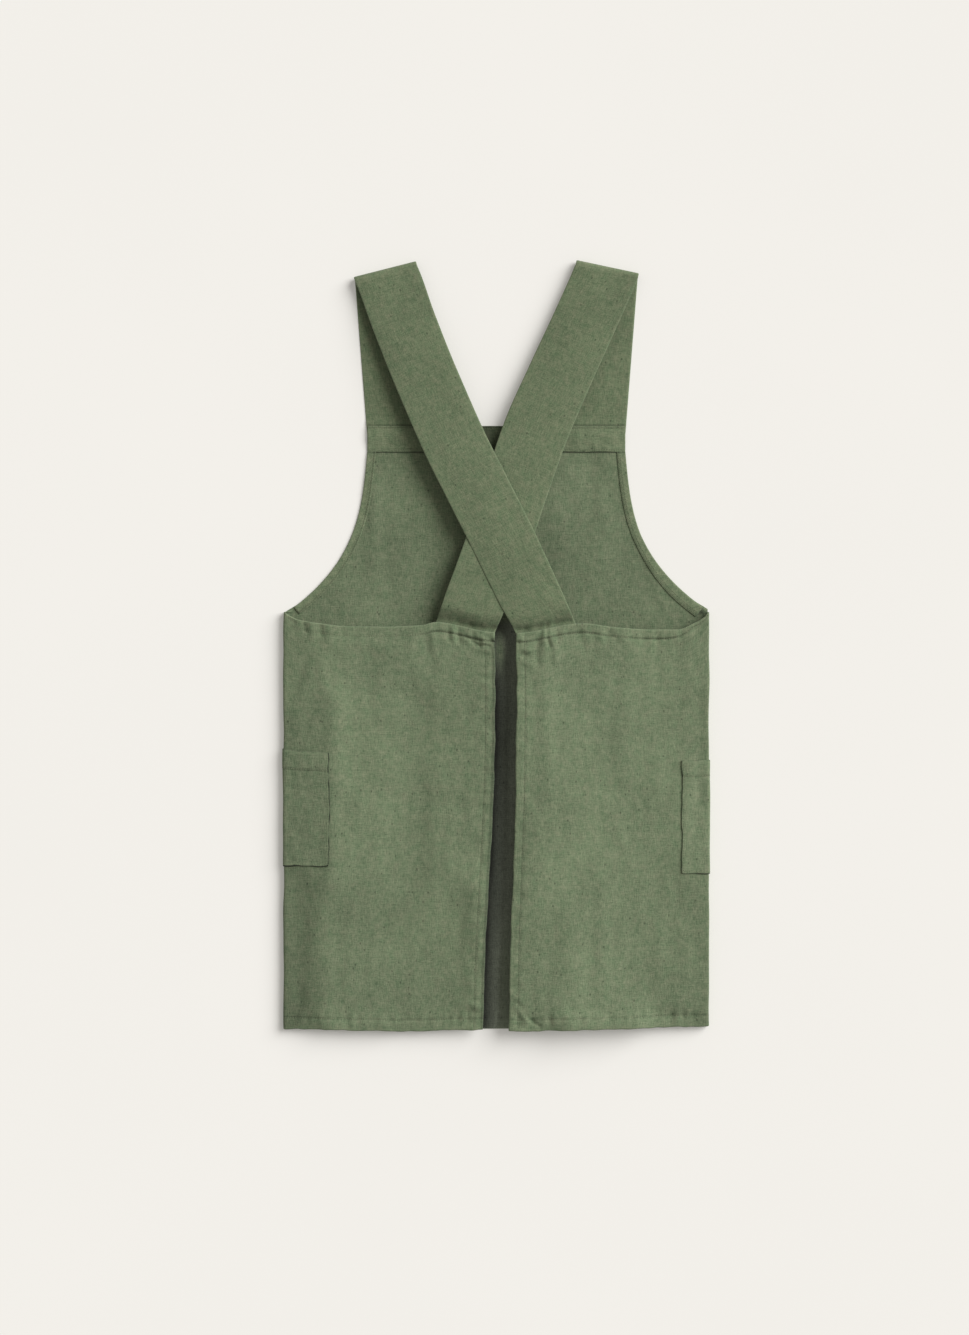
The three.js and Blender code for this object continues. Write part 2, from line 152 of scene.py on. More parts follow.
@dataclass(frozen=True)
class Table:
    """Values in named columns at places along a piece, read along a curve that doesn't overshoot."""

    places: tuple[float, ...]
    columns: dict[str, tuple[float, ...]]

    def read(self, column: str, at: Array | float) -> Array:
        """Reads a column.

        Args:
            column: The column's name.
            at: Where to read, in the units of places.

        Returns:
            The value at each place.
        """
        x, y = np.asarray(self.places), np.asarray(self.columns[column])
        at = np.clip(at, x[0], x[-1])
        steps = np.diff(y) / np.diff(x)
        before, after = steps[:-1], steps[1:]
        slopes = np.zeros(len(x))
        even = before * after > 0
        slopes[1:-1][even] = 2 * before[even] * after[even] / (before[even] + after[even])
        k = np.clip(np.searchsorted(x, at, side="right") - 1, 0, len(x) - 2)
        span = x[k + 1] - x[k]
        s = (at - x[k]) / span
        rise = y[k + 1] - y[k]
        first, second = slopes[k] * span - rise, rise - slopes[k + 1] * span
        return y[k] + s * rise + s * (1 - s) * (first * (1 - s) + second * s)


def folded(height: Array, rows: tuple[FoldRow, ...], x: Array, y: Array) -> Array:
    """Adds straight ridges to a cloth, or dents where a fold's height is below 0.

    Args:
        height: The cloth's height at each place without them.
        rows: For each fold the x and y of its start and of its end, its width and its height.
        x: Each place's x.
        y: Each place's y.

    Returns:
        The height with the folds.
    """
    for start_x, start_y, end_x, end_y, width, ridge in rows:
        run_x, run_y = end_x - start_x, end_y - start_y
        from_x, from_y = x - start_x, y - start_y
        along = np.clip((from_x * run_x + from_y * run_y) / (run_x**2 + run_y**2), 0, 1)
        height = height + ridge * hump(np.hypot(from_x - along * run_x, from_y - along * run_y), width)
    return height


@dataclass(frozen=True)
class Ripple:
    """Irregular smooth waves in cloth, the sum of a few dozen plane waves.

    Stretch is how much longer the waves run along the second coordinate than along the first.
    """

    seed: int
    shortest: float
    longest: float
    stretch: float = 1.0
    waves: int = 28

    def at(self, x: Array, y: Array | float = 0.0) -> Array:
        """Wave height at each place, mostly from -1 to 1."""
        draw = np.random.default_rng(self.seed)
        total = np.zeros(np.broadcast(x, y).shape)
        for _ in range(self.waves):
            length = math.exp(draw.uniform(math.log(self.shortest), math.log(self.longest)))
            way = draw.uniform(0, 2 * math.pi)
            start = draw.uniform(0, 2 * math.pi)
            turn = 2 * math.pi / length
            total = total + np.cos(turn * (math.cos(way) * x + math.sin(way) / self.stretch * y) + start)
        return total / math.sqrt(self.waves)


@dataclass
class Cloth:
    """A cloth as a grid of points: the first index runs across it, the second along it.

    across and along are the grid's own coordinates, which seams are placed by. middle holds the points of
    the cloth's middle, and outer and inner how far its right and wrong sides lie from there. weave holds the
    flat cloth's coordinates. rub is above 0 where the cloth is worn and paler, and below 0 where painted
    shade darkens it. wrong_tone_and_shade is the wrong side's own tone with painted shade, and dull is how
    far that painted shade turns it grey.
    """

    across: Array
    along: Array
    middle: Array
    outer: Array
    inner: Array
    weave: Array
    rub_and_shade: Array
    flip: bool = False
    kept: Array | None = None
    wrong_tone_and_shade: Array | float = 0.0
    greyed_in_shade: Array | float = 0.0
    normal: Array = field(init=False)

    def __post_init__(self) -> None:
        """Works out the normals of the cloth's right side."""
        self.renew()

    def renew(self) -> None:
        """Works out the normals again after the middle has moved."""
        first = np.gradient(self.middle, axis=0)
        second = np.gradient(self.middle, axis=1)
        self.normal = unit(np.cross(first, second)) * (-1 if self.flip else 1)

    def lift(self, height: Array) -> None:
        """Moves the cloth along its normals, and works them out again."""
        self.middle = self.middle + self.normal * height[..., None]
        self.renew()

    def sample(self, values: Array, across: Array, along: Array) -> Array:
        """Reads a grid of values between its points.

        Args:
            values: A value or vector for each point of the grid.
            across: Places in the grid's first coordinate.
            along: Places in its second coordinate.

        Returns:
            The values at those places.
        """
        i = np.interp(across, self.across, np.arange(len(self.across)))
        j = np.interp(along, self.along, np.arange(len(self.along)))
        i0 = np.clip(np.floor(i).astype(int), 0, len(self.across) - 2)
        j0 = np.clip(np.floor(j).astype(int), 0, len(self.along) - 2)
        s, t = (i - i0)[..., None], (j - j0)[..., None]
        low = mix(values[i0, j0], values[i0 + 1, j0], s)
        high = mix(values[i0, j0 + 1], values[i0 + 1, j0 + 1], s)
        return mix(low, high, t)

    def mesh(self, name: str) -> bpy.types.Object:
        """Builds the closed cloth with rounded edges.

        Args:
            name: The piece's name.

        Returns:
            The new object, in metres.
        """
        kept = np.ones(self.outer.shape, bool) if self.kept is None else self.kept
        count = int(kept.sum())
        index = np.full(kept.shape, -1)
        index[kept] = np.arange(count)
        top = (self.middle + self.normal * self.outer[..., None])[kept]
        under = (self.middle - self.normal * self.inner[..., None])[kept]
        corners = np.stack([index[:-1, :-1], index[1:, :-1], index[1:, 1:], index[:-1, 1:]], axis=-1)
        cells = corners[(corners >= 0).all(axis=-1)]
        if self.flip:
            cells = cells[:, ::-1]
        border = open_edges(cells, count)
        rim_points = np.unique(border)
        rim_of = np.full(count, -1)
        rim_of[rim_points] = np.arange(len(rim_points)) + 2 * count
        run = unit(top[border[:, 1]] - top[border[:, 0]])
        way = np.zeros((count, 3))
        facing = self.normal[kept]
        for end in (0, 1):
            np.add.at(way, border[:, end], np.cross(run, facing[border[:, end]]))
        half = (self.outer + self.inner)[kept][rim_points] / 2
        centre = (top[rim_points] + under[rim_points]) / 2
        rim = centre + unit(way[rim_points]) * half[:, None] * RIM_ROUNDNESS
        below = cells[:, ::-1] + count
        start, stop = border[:, 0], border[:, 1]
        upper_strip = np.stack([stop, start, rim_of[start], rim_of[stop]], axis=-1)
        lower_strip = np.stack([rim_of[stop], rim_of[start], start + count, stop + count], axis=-1)
        faces = np.concatenate([cells, below, upper_strip, lower_strip])
        made = make_mesh(name, np.concatenate([top, under, rim]) * MM, faces.tolist())
        weave, rub_and_shade = self.weave[kept], self.rub_and_shade[kept]
        # The wrong side takes a share of the right side's worn paleness and painted shade, and adds its own
        # tone and painted shade.
        wrong = (self.rub_and_shade * RUB_AND_SHADE_THROUGH + self.wrong_tone_and_shade)[kept]
        greyed_in_shade = (self.rub_and_shade * 0 + self.greyed_in_shade)[kept]
        add_attribute(made, "cloth_mm", np.concatenate([weave, weave, weave[rim_points]]))
        add_attribute(made, "rub_and_shade", np.concatenate([rub_and_shade, wrong, rub_and_shade[rim_points]]))
        add_attribute(made, "greyed_in_shade", np.concatenate([rub_and_shade * 0, greyed_in_shade, rub_and_shade[rim_points] * 0]))
        return made


def open_edges(cells: Array, count: int) -> Array:
    """The edges that only one cell has.

    Args:
        cells: The four point numbers of each cell.
        count: How many points there are.

    Returns:
        Each edge's two point numbers.
    """
    edges = np.concatenate([cells[:, [k, (k + 1) % 4]] for k in range(4)])
    code = edges[:, 0] * count + edges[:, 1]
    return edges[~np.isin(code, edges[:, 1] * count + edges[:, 0])]


def make_mesh(name: str, points: Array, faces: list[list[int]]) -> bpy.types.Object:
    """Makes a smooth-shaded object.

    Args:
        name: The piece's name.
        points: Vertices in metres.
        faces: Vertex numbers, a list for each face.

    Returns:
        The new object.
    """
    mesh = bpy.data.meshes.new(name)
    mesh.from_pydata(points.tolist(), [], faces)
    mesh.polygons.foreach_set("use_smooth", np.ones(len(mesh.polygons), bool))
    mesh.update()
    made = bpy.data.objects.new(name, mesh)
    bpy.context.scene.collection.objects.link(made)
    return made


def add_attribute(piece: bpy.types.Object, name: str, values: Array) -> None:
    """Stores a number or a vector for each vertex, for the piece's material to read."""
    values = np.asarray(values, dtype=np.float32)
    if values.ndim == 1:
        made = piece.data.attributes.new(name, "FLOAT", "POINT")
        made.data.foreach_set("value", values)
        return
    made = piece.data.attributes.new(name, "FLOAT_VECTOR", "POINT")
    made.data.foreach_set("vector", np.pad(values, ((0, 0), (0, 3 - values.shape[1]))).ravel())


def box_mm(node: str) -> tuple[Array, Array]:
    """A frame node's lowest and highest corner in millimetres."""
    low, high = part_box(node)
    return np.array(low) / MM, np.array(high) / MM


@dataclass
class Plan:
    """The apron's main sizes: those of the frame, and the shapes that its outlines follow."""

    cloth: float = 1.0
    gap: float = 0.3
    waist_from_bib: float = 251.0
    side_loft: float = 12.0
    slit_loft: dict[Side, float] = field(default_factory=lambda: {Side.LEFT: 20.0, Side.RIGHT: 28.0})
    waist_dip: float = 28.0
    hem_wave: float = 4.0
    slit_top_width: float = 30.0
    slit_top_offset: float = 12.5
    slit_hem_width: float = 36.0
    hem: float = 13.5
    hem_reach: float = 1.15
    slit_bend: float = 0.72
    bib_trim: float = 0.8
    armhole_straight: float = 0.18
    armhole_power: float = 3.2
    right_flare: float = 5.6
    flare_start: float = 0.5
    flare_length: float = 0.46
    flare_power: float = 1.2
    waist_edge: Table = Table(
        (0, 0.07, 0.17, 0.3, 0.5, 0.66, 0.72, 1),
        {
            "LEFT": (0, 0.38, 0.56, 0.7, 0.72, 0.64, 0.5, 0.98),
            "RIGHT": (0.05, 0.5, 0.86, 0.86, 0.74, 0.56, 0.6, 1.03),
        },
    )
    hem_edge: Table = Table(
        (0, 0.33, 0.6, 1),
        {"LEFT": (-0.1, 0.15, 0.6, 0), "RIGHT": (-1.0, -0.65, -0.25, 0.35)},
    )
    profile: Table = Table(
        (0, 0.14, 0.3, 0.5, 0.75, 0.9, 1),
        {
            "LEFT": (0, 0.34, 0.46, 0.44, 0.66, 0.88, 1),
            "RIGHT": (0, 0.12, 0.2, 0.4, 0.8, 0.98, 1),
        },
    )
    loft_up: Table = Table(
        (0, 0.3, 0.65, 1),
        {"LEFT": (0.75, 0.7, 0.8, 1), "RIGHT": (0.85, 0.85, 0.9, 0.75)},
    )

    def __post_init__(self) -> None:
        """Reads the frame and works out the sizes that follow from it."""
        low, high = box_mm("body")
        facing_low, facing_high = box_mm("bib_facing")
        self.half_cloth = self.cloth / 2
        self.half_width = float(high[0]) - self.half_cloth
        self.bib_half = float(facing_high[0]) - self.bib_trim
        self.bib_top = float(high[1])
        self.facing_bottom = float(facing_low[1])
        self.waist = self.bib_top - self.waist_from_bib
        self.hem_line = float(low[1]) + self.hem_wave * self.hem_reach
        self.waist_height = self.waist - self.hem_line
        self.fold_radius = (self.side_loft - self.cloth) / 2
        self.fold_arc = self.fold_radius * math.pi / 2
        self.fold_x = self.half_width - self.fold_radius
        self.pitch = self.cloth + self.gap

    def slit_edge(self, side: Side, y: Array) -> Array:
        """The slit's edge on one side at height y."""
        up = smooth((y - self.hem_line) / (self.waist_height * self.slit_bend))
        middle = self.slit_top_offset * up
        return middle + side.value * mix(self.slit_hem_width, self.slit_top_width, up) / 2

    def across_back(self, side: Side, x: Array, y: Array) -> Array:
        """How far across a back a place lies, from 0 at the side fold to 1 at the slit."""
        whole = self.half_width - side.value * self.slit_edge(side, y)
        return np.clip((self.half_width - side.value * x) / whole, 0, 1)

    def waist_line(self, side: Side, across: Array) -> Array:
        """Height of a back's top edge."""
        return self.waist - self.waist_dip * self.waist_edge.read(side.name, across)

    def back_loft(self, side: Side, x: Array, y: Array) -> Array:
        """Middle height of a back's cloth above the table, without its folds."""
        up = (y - self.hem_line) / self.waist_height
        rise = (self.slit_loft[side] - self.side_loft) * self.loft_up.read(side.name, up)
        across = self.across_back(side, x, y)
        return self.side_loft - self.half_cloth + rise * self.profile.read(side.name, across)

    def armhole_half(self, side: Side, y: Array) -> Array:
        """How far the front reaches to one side at height y."""
        share = np.clip((self.facing_bottom - y) / (self.facing_bottom - self.waist), 0, 1)
        half = mix(self.bib_half, self.fold_x, mix(share**self.armhole_power, share, self.armhole_straight))
        if side is Side.RIGHT:
            flared = np.clip((share - self.flare_start) / self.flare_length, 0, 1)
            half = half + self.right_flare * flared**self.flare_power
        return np.minimum(half, self.fold_x)


# Folds of the laid cloth: x and y of the start, x and y of the end, width, and height above the smooth shape
BACK_FOLDS: dict[Side, tuple[FoldRow, ...]] = {
    Side.LEFT: (
        (-218, -73, -218, -316, 20, 3.7), (-110, -80, -112, -316, 27, -3.5),
        (-65, -100, -36, -289, 22, -0.8), (-231, -323, -235, -494, 17, 2.9),
        (-127, -323, -130, -464, 24, -1.8), (-22, -333, -25, -478, 24, 5.0),
        (-195, -12, -189, -59, 13, 0.7), (-150, -8, -142, -93, 16, 0.6),
        (-94, 12, -92, -8, 4.5, -1.6), (-84, 12, -81, -12, 5, 1.1),
        (-114, 11, -115, -19, 6, 0.8), (-38, 11, -22, -1, 2.6, -2.2),
        (-29, 10, -22, 6, 2, -1.2), (-22, 1, -9, 0, 2.2, -1.6),
        (-6, 7, -3, 1, 2.4, -1.4), (-25, 14, -6, 0, 4, 1.5),
        (-52, 14, -50, 5, 4, -1.3), (-260, 35, -257, 20, 3, -1.7),
        (-250, 32, -247, 12, 4, 1.0), (-238, 28, -235, 14, 3, -1.5),
        (-227, 27, -222, 1, 6, 0.8), (-207, 24, -206, 14, 3, -1.1),
        (-279, 40, -273, 32, 3.5, -1.5), (-279, -73, -257, -19, 8, -1.7),
        (-184, -208, -195, -275, 12, 1.8), (-265, -316, -265, -498, 14, -1.6),
        (-204, -343, -198, -464, 16, 1.8), (-76, -316, -81, -478, 16, -0.5),
        (-36, -5, -30, -127, 14, 0.2), (-137, -208, -144, -302, 14, -1.2),
        (-90, -19, -76, -100, 14, -0.4), (-252, 8, -246, -73, 12, -0.5),
        (-265, -300, -130, -305, 14, 0.9), (-117, -316, -22, -321, 12, -0.2),
        (-211, 8, -130, -5, 12, 1.1), (-63, -127, -130, -140, 14, -0.9),
        (-90, -208, -22, -221, 14, -1.4), (-225, -424, -130, -429, 14, 1.0),
        (-225, -514, -150, -514, 16, 5.0), (-201, -500, -200, -513, 3, -1.5),
        (-142, -500, -141, -513, 3, -1.5), (-38, -416, -23, -427, 3, -1.5),
        (-40, -371, -26, -366, 3, 1.2),
    ),
    Side.RIGHT: (
        (66, 8, 68, -194, 15, 1.6), (172, -57, 170, -174, 15, 1.5),
        (52, 9, 56, -24, 5, -1.5), (69, 9, 72, -1, 2.4, -2.2),
        (60, 30, 61, 12, 2, -0.9), (68, 30, 68, 12, 2, -0.9),
        (18, 5, 30, 6, 2.2, -1.2), (78, 8, 81, -19, 5, 1.5),
        (106, -188, 194, -197, 12, -0.8), (162, -243, 170, -265, 8, 1.1),
        (102, -377, 108, -467, 22, 2.7), (226, -286, 275, -421, 12, -1.2),
        (207, -302, 243, -410, 16, -1.7), (214, 8, 232, -154, 20, -1.3),
        (253, 8, 259, -140, 12, 0.2), (152, 20, 163, 5, 3, -0.9),
        (159, 23, 171, 7, 4, 0.6), (283, 32, 268, 22, 4, -1.5),
        (113, 19, 116, 1, 4, -1.2), (194, -491, 261, -500, 8, -1.2),
        (45, -275, 54, -424, 12, 0.3), (153, -302, 194, -343, 16, -0.8),
        (32, -73, 35, -208, 12, 1.7), (140, -289, 145, -370, 16, 0.9),
        (194, -208, 202, -289, 16, -0.4), (248, -5, 253, -127, 14, -1.3),
        (275, -73, 275, -208, 10, -1.6), (261, -321, 278, -343, 10, 0.3),
        (194, -383, 207, -478, 16, -1.1), (140, -383, 145, -464, 16, 2.6),
        (99, -489, 261, -497, 8, -1.2), (37, -316, 40, -478, 12, 0.4),
        (140, -73, 261, -59, 14, 0.8), (86, -343, 221, -356, 14, 0.2),
        (140, 8, 145, -59, 12, 0.9), (207, -73, 221, -181, 14, 0.3),
        (59, -478, 194, -483, 10, 0.3), (140, -140, 248, -154, 14, 0.7),
        (100, -512, 185, -512, 24, 12.5), (26, -484, 42, -504, 3, 1.7),
        (38, -497, 58, -511, 2.6, -1.7), (20, -466, 34, -478, 3, 1.2),
    ),
}
BIB_FOLDS: tuple[FoldRow, ...] = (
    (-168, 224, -165, 82, 9, 1.7), (-149, 221, -146, 82, 8, -0.3),
    (197, 113, 210, 54, 5, -0.3), (207, 116, 222, 57, 6, 0.5),
    (-229, 65, -226, 46, 6, -1.4), (202, 46, 194, 30, 6, 0.7),
    (-49, 197, -60, 116, 16, 1.2), (59, 238, 86, 143, 20, 1.4),
    (-150, 306, -145, 300, 3, 0.7), (-90, 251, -36, 238, 10, 0.5),
    (140, 224, 148, 116, 12, 0.3), (-184, 170, -198, 103, 12, -0.3),
    (-130, 116, -144, 49, 12, -0.5), (-171, 54, -90, 49, 8, 0.4),
    (167, 170, 189, 89, 10, 0.2), (140, 70, 194, 59, 10, 0.2),
    (99, 143, 113, 62, 12, -0.2), (221, 62, 248, 46, 8, 0.2),
    (126, 251, 129, 170, 12, -1.0), (-204, 76, -157, 73, 10, 0.6),
)


@dataclass(frozen=True)
class Seam:
    """How cloth looks along a line of stitches: a groove, a firmer edge beside it and puckers across it."""

    groove: float = 0.6
    groove_width: float = 1.5
    pucker: float = 0.4
    reach: float = 9.0
    wave: Ripple = Ripple(3, 9, 20)

    def at(self, off: Array, along: Array) -> Array:
        """Height that the seam adds.

        Args:
            off: How far each place lies from the stitches.
            along: Where it lies along them.

        Returns:
            The height at each place.
        """
        puckers = self.pucker * self.wave.at(along) * hump(off, self.reach)
        return puckers - self.groove * hump(off, self.groove_width)


@dataclass(frozen=True)
class Spot:
    """A soft oval spot on the cloth, with its width and how far it is stretched along x and y."""

    x: float
    y: float
    width: float
    long_x: float = 1.0
    long_y: float = 1.0

    def at(self, x: Array, y: Array) -> Array:
        """How strong the spot is at each place, from 0 to 1."""
        return hump(np.hypot((x - self.x) / self.long_x, (y - self.y) / self.long_y), self.width)


@dataclass
class BodyShape:
    """The laid body as a surface: the front on the table, the side folds and the two backs."""

    plan: Plan
    lift_run: float = 14.0
    lift_margin: float = 4.0
    pocket_front: float = 124.7
    lift_low: float = 205.3
    lift_high: float = 383.6
    bottom_stitch: float = 14.5
    slit_stitch: float = 11.5
    waist_stitch: float = 12.0
    swell: dict[Side, Ripple] = field(
        default_factory=lambda: {Side.LEFT: Ripple(11, 40, 170, 1.8), Side.RIGHT: Ripple(12, 40, 170, 1.8)}
    )
    crumple: Ripple = Ripple(13, 12, 34, 1.4, 40)
    bib_swell: Ripple = Ripple(14, 45, 150, 1.5)
    bib_crumple: Ripple = Ripple(15, 10, 30, 1.3, 40)
    swell_height: float = 0.35
    bib_swell_height: float = 0.8
    crumple_height: float = 0.2
    fold_drop: Table = Table(
        (-515, -480, -300, -140, 30), {"LEFT": (1.5, 2, 2, 2, 1), "RIGHT": (1, 1, 0.5, 0.5, 0.5)}
    )
    crease_round: float = 1.4
    crease_inset: float = 0.6
    crease_reach: float = 16.0
    crease_wander: float = 0.55
    hem_wander_by: float = 0.45
    back_length: float = 270.0
    drop_reach: float = 0.15
    fold_free: float = 0.07
    fold_wave: Ripple = Ripple(26, 40, 200)
    hem_wander: Ripple = Ripple(27, 14, 60)
    slit_wander: Ripple = Ripple(28, 25, 120)
    bottom_seam: Seam = Seam(groove=1.1, groove_width=1.3, pucker=0.9, reach=8, wave=Ripple(21, 11, 24))
    slit_seam: Seam = Seam(groove=0.35, pucker=1.1, reach=7, wave=Ripple(22, 9, 17))
    waist_seam: Seam = Seam(groove=1.6, groove_width=1.7, pucker=1.0, wave=Ripple(23, 9, 24))

    def low_drop(self, side: Side, across: Array, y: Array) -> Array:
        """How far the bottom edge drops, which fades upwards."""
        plan = self.plan
        share = 1 - smooth((y - plan.hem_line - plan.hem) / (self.lift_low - self.lift_run - plan.hem))
        drop = plan.hem_wave * plan.hem_edge.read(side.name, across)
        wander = self.hem_wander.at(across * self.back_length, 50 * side.value)
        return share * (drop + self.hem_wander_by * wander)

    def row_drop(self, side: Side, across: Array, y: Array) -> Array:
        """How far the back hangs below the even rows, by its bottom and its top edge."""
        plan = self.plan
        high_start = self.lift_high + self.lift_run
        up = y - plan.hem_line
        high_share = smooth((up - high_start) / (plan.waist_height - plan.hem - 0.5 - high_start))
        return self.low_drop(side, across, y) + high_share * (plan.waist - plan.waist_line(side, across))

    def front_height(self, x: Array, y: Array) -> Array:
        """Middle height of the front: on the table, lifted over the pockets and in the bib's soft folds."""
        plan = self.plan
        reach = plan.fold_x + plan.fold_arc - self.pocket_front - self.lift_margin
        beside = smooth((np.abs(x) - reach) / self.lift_run + 1)
        up = y - plan.hem_line
        above = smooth((up - self.lift_low) / self.lift_run + 1)
        below = smooth((self.lift_high - up) / self.lift_run + 1)
        rise = plan.pitch * beside * above * below
        soft = 1.0 + self.bib_swell_height * self.bib_swell.at(x, y)
        soft = soft + self.crumple_height * self.bib_crumple.at(x, y)
        soft = folded(soft, BIB_FOLDS, x, y)
        edge = np.minimum(plan.armhole_half(Side.LEFT, y) - np.abs(x), plan.bib_top - y)
        off_edge = mix(0.45, 1.0, smooth(edge / 26))
        above_waist = smooth((y - plan.waist + 30) / 60)
        under_band = mix(1.0, 0.25, smooth((y - plan.bib_top + 40) / 34))
        return plan.half_cloth + rise + np.maximum(soft, 0) * above_waist * off_edge * under_band

    def back_height(self, side: Side, x: Array, y: Array) -> Array:
        """Middle height of a back with its folds, its puckered seams and its crumples."""
        plan = self.plan
        across = plan.across_back(side, x, y)
        height = plan.back_loft(side, x, y)
        soft = self.swell_height * self.swell[side].at(x, y) + self.crumple_height * self.crumple.at(x, y)
        height = height + folded(soft, BACK_FOLDS[side], x, y) * smooth(across / self.fold_free)
        inset = side.value * (x - plan.slit_edge(side, y))
        top_off = plan.waist_line(side, across) - y
        low_off = y - plan.hem_line + plan.hem_wave * plan.hem_edge.read(side.name, across)
        inside = smooth((top_off + 3) / 4)
        height = height + self.slit_seam.at(inset - self.slit_stitch, y + 500 * side.value) * inside
        height = height + self.drawn(x) * self.waist_seam.at(top_off - self.waist_stitch_at(x), x)
        height = height - self.fold_drop.read(side.name, y) * (1 - smooth(across / self.drop_reach))
        return height + self.bottom_seam.at(low_off - self.bottom_stitch, x)

    def drawn(self, x: Array) -> Array:
        """How plainly the waist hem's stitch line shows."""
        right = mix(1.0, 0.35, smooth((x - 122) / 45)) + 0.8 * hump(x - 222, 34)
        return mix(0.15, 1.0, smooth((x + 105) / 16)) * right

    def waist_stitch_at(self, x: Array) -> Array:
        """How far the stitch line lies below the back's top edge: it closes in at the right fold."""
        return self.waist_stitch * (1 - 0.7 * smooth((x - 225) / 50))

    def fold_shade(self, x: Array, y: Array) -> Array:
        """How much painted shade darkens the cloth beside the side folds and towards the lower left of the
        left back.
        """
        plan = self.plan
        down = smooth((plan.waist - y) / plan.waist_height)
        low_left = 0.14 * smooth((-230 - y) / 120) * smooth((-60 - x) / 120)
        left = low_left + mix(0.14, 0.34, down) * hump(x + plan.half_width, 34)
        return left + mix(0.0, 0.2, down) * hump(x - plan.half_width, 26)

    def point(self, side: Side, girth: Array, y: Array) -> Array:
        """A point on the middle of the cloth.

        Args:
            side: The side whose fold girth is measured from.
            girth: Place along the cloth from the outermost line of the fold, above 0 over the back.
            y: Place along the body.

        Returns:
            x, y and z of each place.
        """
        plan = self.plan
        past = np.abs(girth) - plan.fold_arc
        x = side.value * (plan.fold_x - past)
        angle = np.clip(girth / plan.fold_arc, -1, 1) * math.pi / 2
        edge = np.full_like(x, side.value * plan.fold_x)
        low = self.front_height(edge, y)
        high = self.back_height(side, edge, y)
        around = mix(low, high, (1 + np.sin(angle)) / 2)
        pushed = plan.fold_radius - self.crease_round - self.crease_inset
        bulge = self.crease_round + self.crease_wander * self.fold_wave.at(y, 90 * side.value)
        round_x = side.value * (plan.fold_x + pushed + bulge * np.cos(angle))
        on_fold = past < 0
        flat_x = np.where(on_fold, edge, x)
        flat = np.where(girth > 0, self.back_height(side, flat_x, y), self.front_height(flat_x, y))
        x = x + side.value * pushed * (1 - smooth(past / self.crease_reach))
        return np.stack([np.where(on_fold, round_x, x), y, np.where(on_fold, around, flat)], axis=-1)


@dataclass
class Stitching:
    """Rows of stitches, gathered from several cloths and made as one piece of short thread runs."""

    name: str
    pitch: float = 3.3
    length: float = 2.5
    radius: float = 0.34
    jitter: float = 0.12
    sides: int = 6
    seed: int = 5
    places: list[Array] = field(default_factory=list)
    ways: list[Array] = field(default_factory=list)
    facings: list[Array] = field(default_factory=list)

    def sew(self, cloth: Cloth, across: Array | float, along: Array | float) -> None:
        """Lays a row of stitches on a cloth's right side.

        Args:
            cloth: The cloth to sew on.
            across: The row's places in the grid's first coordinate.
            along: Its places in the second.
        """
        surface = cloth.middle + cloth.normal * cloth.outer[..., None]
        across, along = np.broadcast_arrays(np.asarray(across, float), np.asarray(along, float))
        line = cloth.sample(surface, across, along)
        out = cloth.sample(cloth.normal, across, along)
        run = np.concatenate([[0], np.cumsum(np.linalg.norm(np.diff(line, axis=0), axis=1))])
        count = int(run[-1] / self.pitch)
        draw = np.random.default_rng(self.seed + len(self.places))
        stops = (np.arange(count) + 0.5) * self.pitch + draw.normal(0, self.jitter, count)
        at = np.stack([np.interp(stops, run, line[:, k]) for k in range(3)], axis=-1)
        ahead = np.stack([np.interp(stops + 1, run, line[:, k]) for k in range(3)], axis=-1)
        behind = np.stack([np.interp(stops - 1, run, line[:, k]) for k in range(3)], axis=-1)
        self.places.append(at)
        self.ways.append(unit(ahead - behind))
        self.facings.append(unit(np.stack([np.interp(stops, run, out[:, k]) for k in range(3)], axis=-1)))

    def build(self) -> bpy.types.Object:
        """Makes the piece of all the stitches."""
        at = np.concatenate(self.places)
        way = np.concatenate(self.ways)
        up = np.concatenate(self.facings)
        beside = unit(np.cross(way, up))
        rings = ((-0.5, 0.35, -0.2), (-0.28, 1, 0.15), (0.28, 1, 0.15), (0.5, 0.35, -0.2))
        corners = []
        for share, size, lift in rings:
            for k in range(self.sides):
                turn = 2 * math.pi / self.sides * k
                off = beside * math.cos(turn) + up * math.sin(turn)
                corners.append(at + way * share * self.length + (off * size + up * lift) * self.radius)
        points = np.stack(corners, axis=1).reshape(-1, 3) * MM
        first = np.arange(len(at))[:, None] * len(corners)
        ring = np.arange(self.sides)
        after = (ring + 1) % self.sides
        quads = []
        for start in range(0, len(corners) - self.sides, self.sides):
            for low, high in zip(ring + start, after + start):
                quads.append(first + np.array([[low, high, high + self.sides, low + self.sides]]))
        caps = [first + ring[::-1], first + ring + len(corners) - self.sides]
        faces = np.concatenate(quads).tolist() + np.concatenate(caps).tolist()
        made = make_mesh(self.name, points, faces)
        add_attribute(made, "cloth_mm", points / MM)
        add_attribute(made, "rub_and_shade", np.zeros(len(points)))
        return made


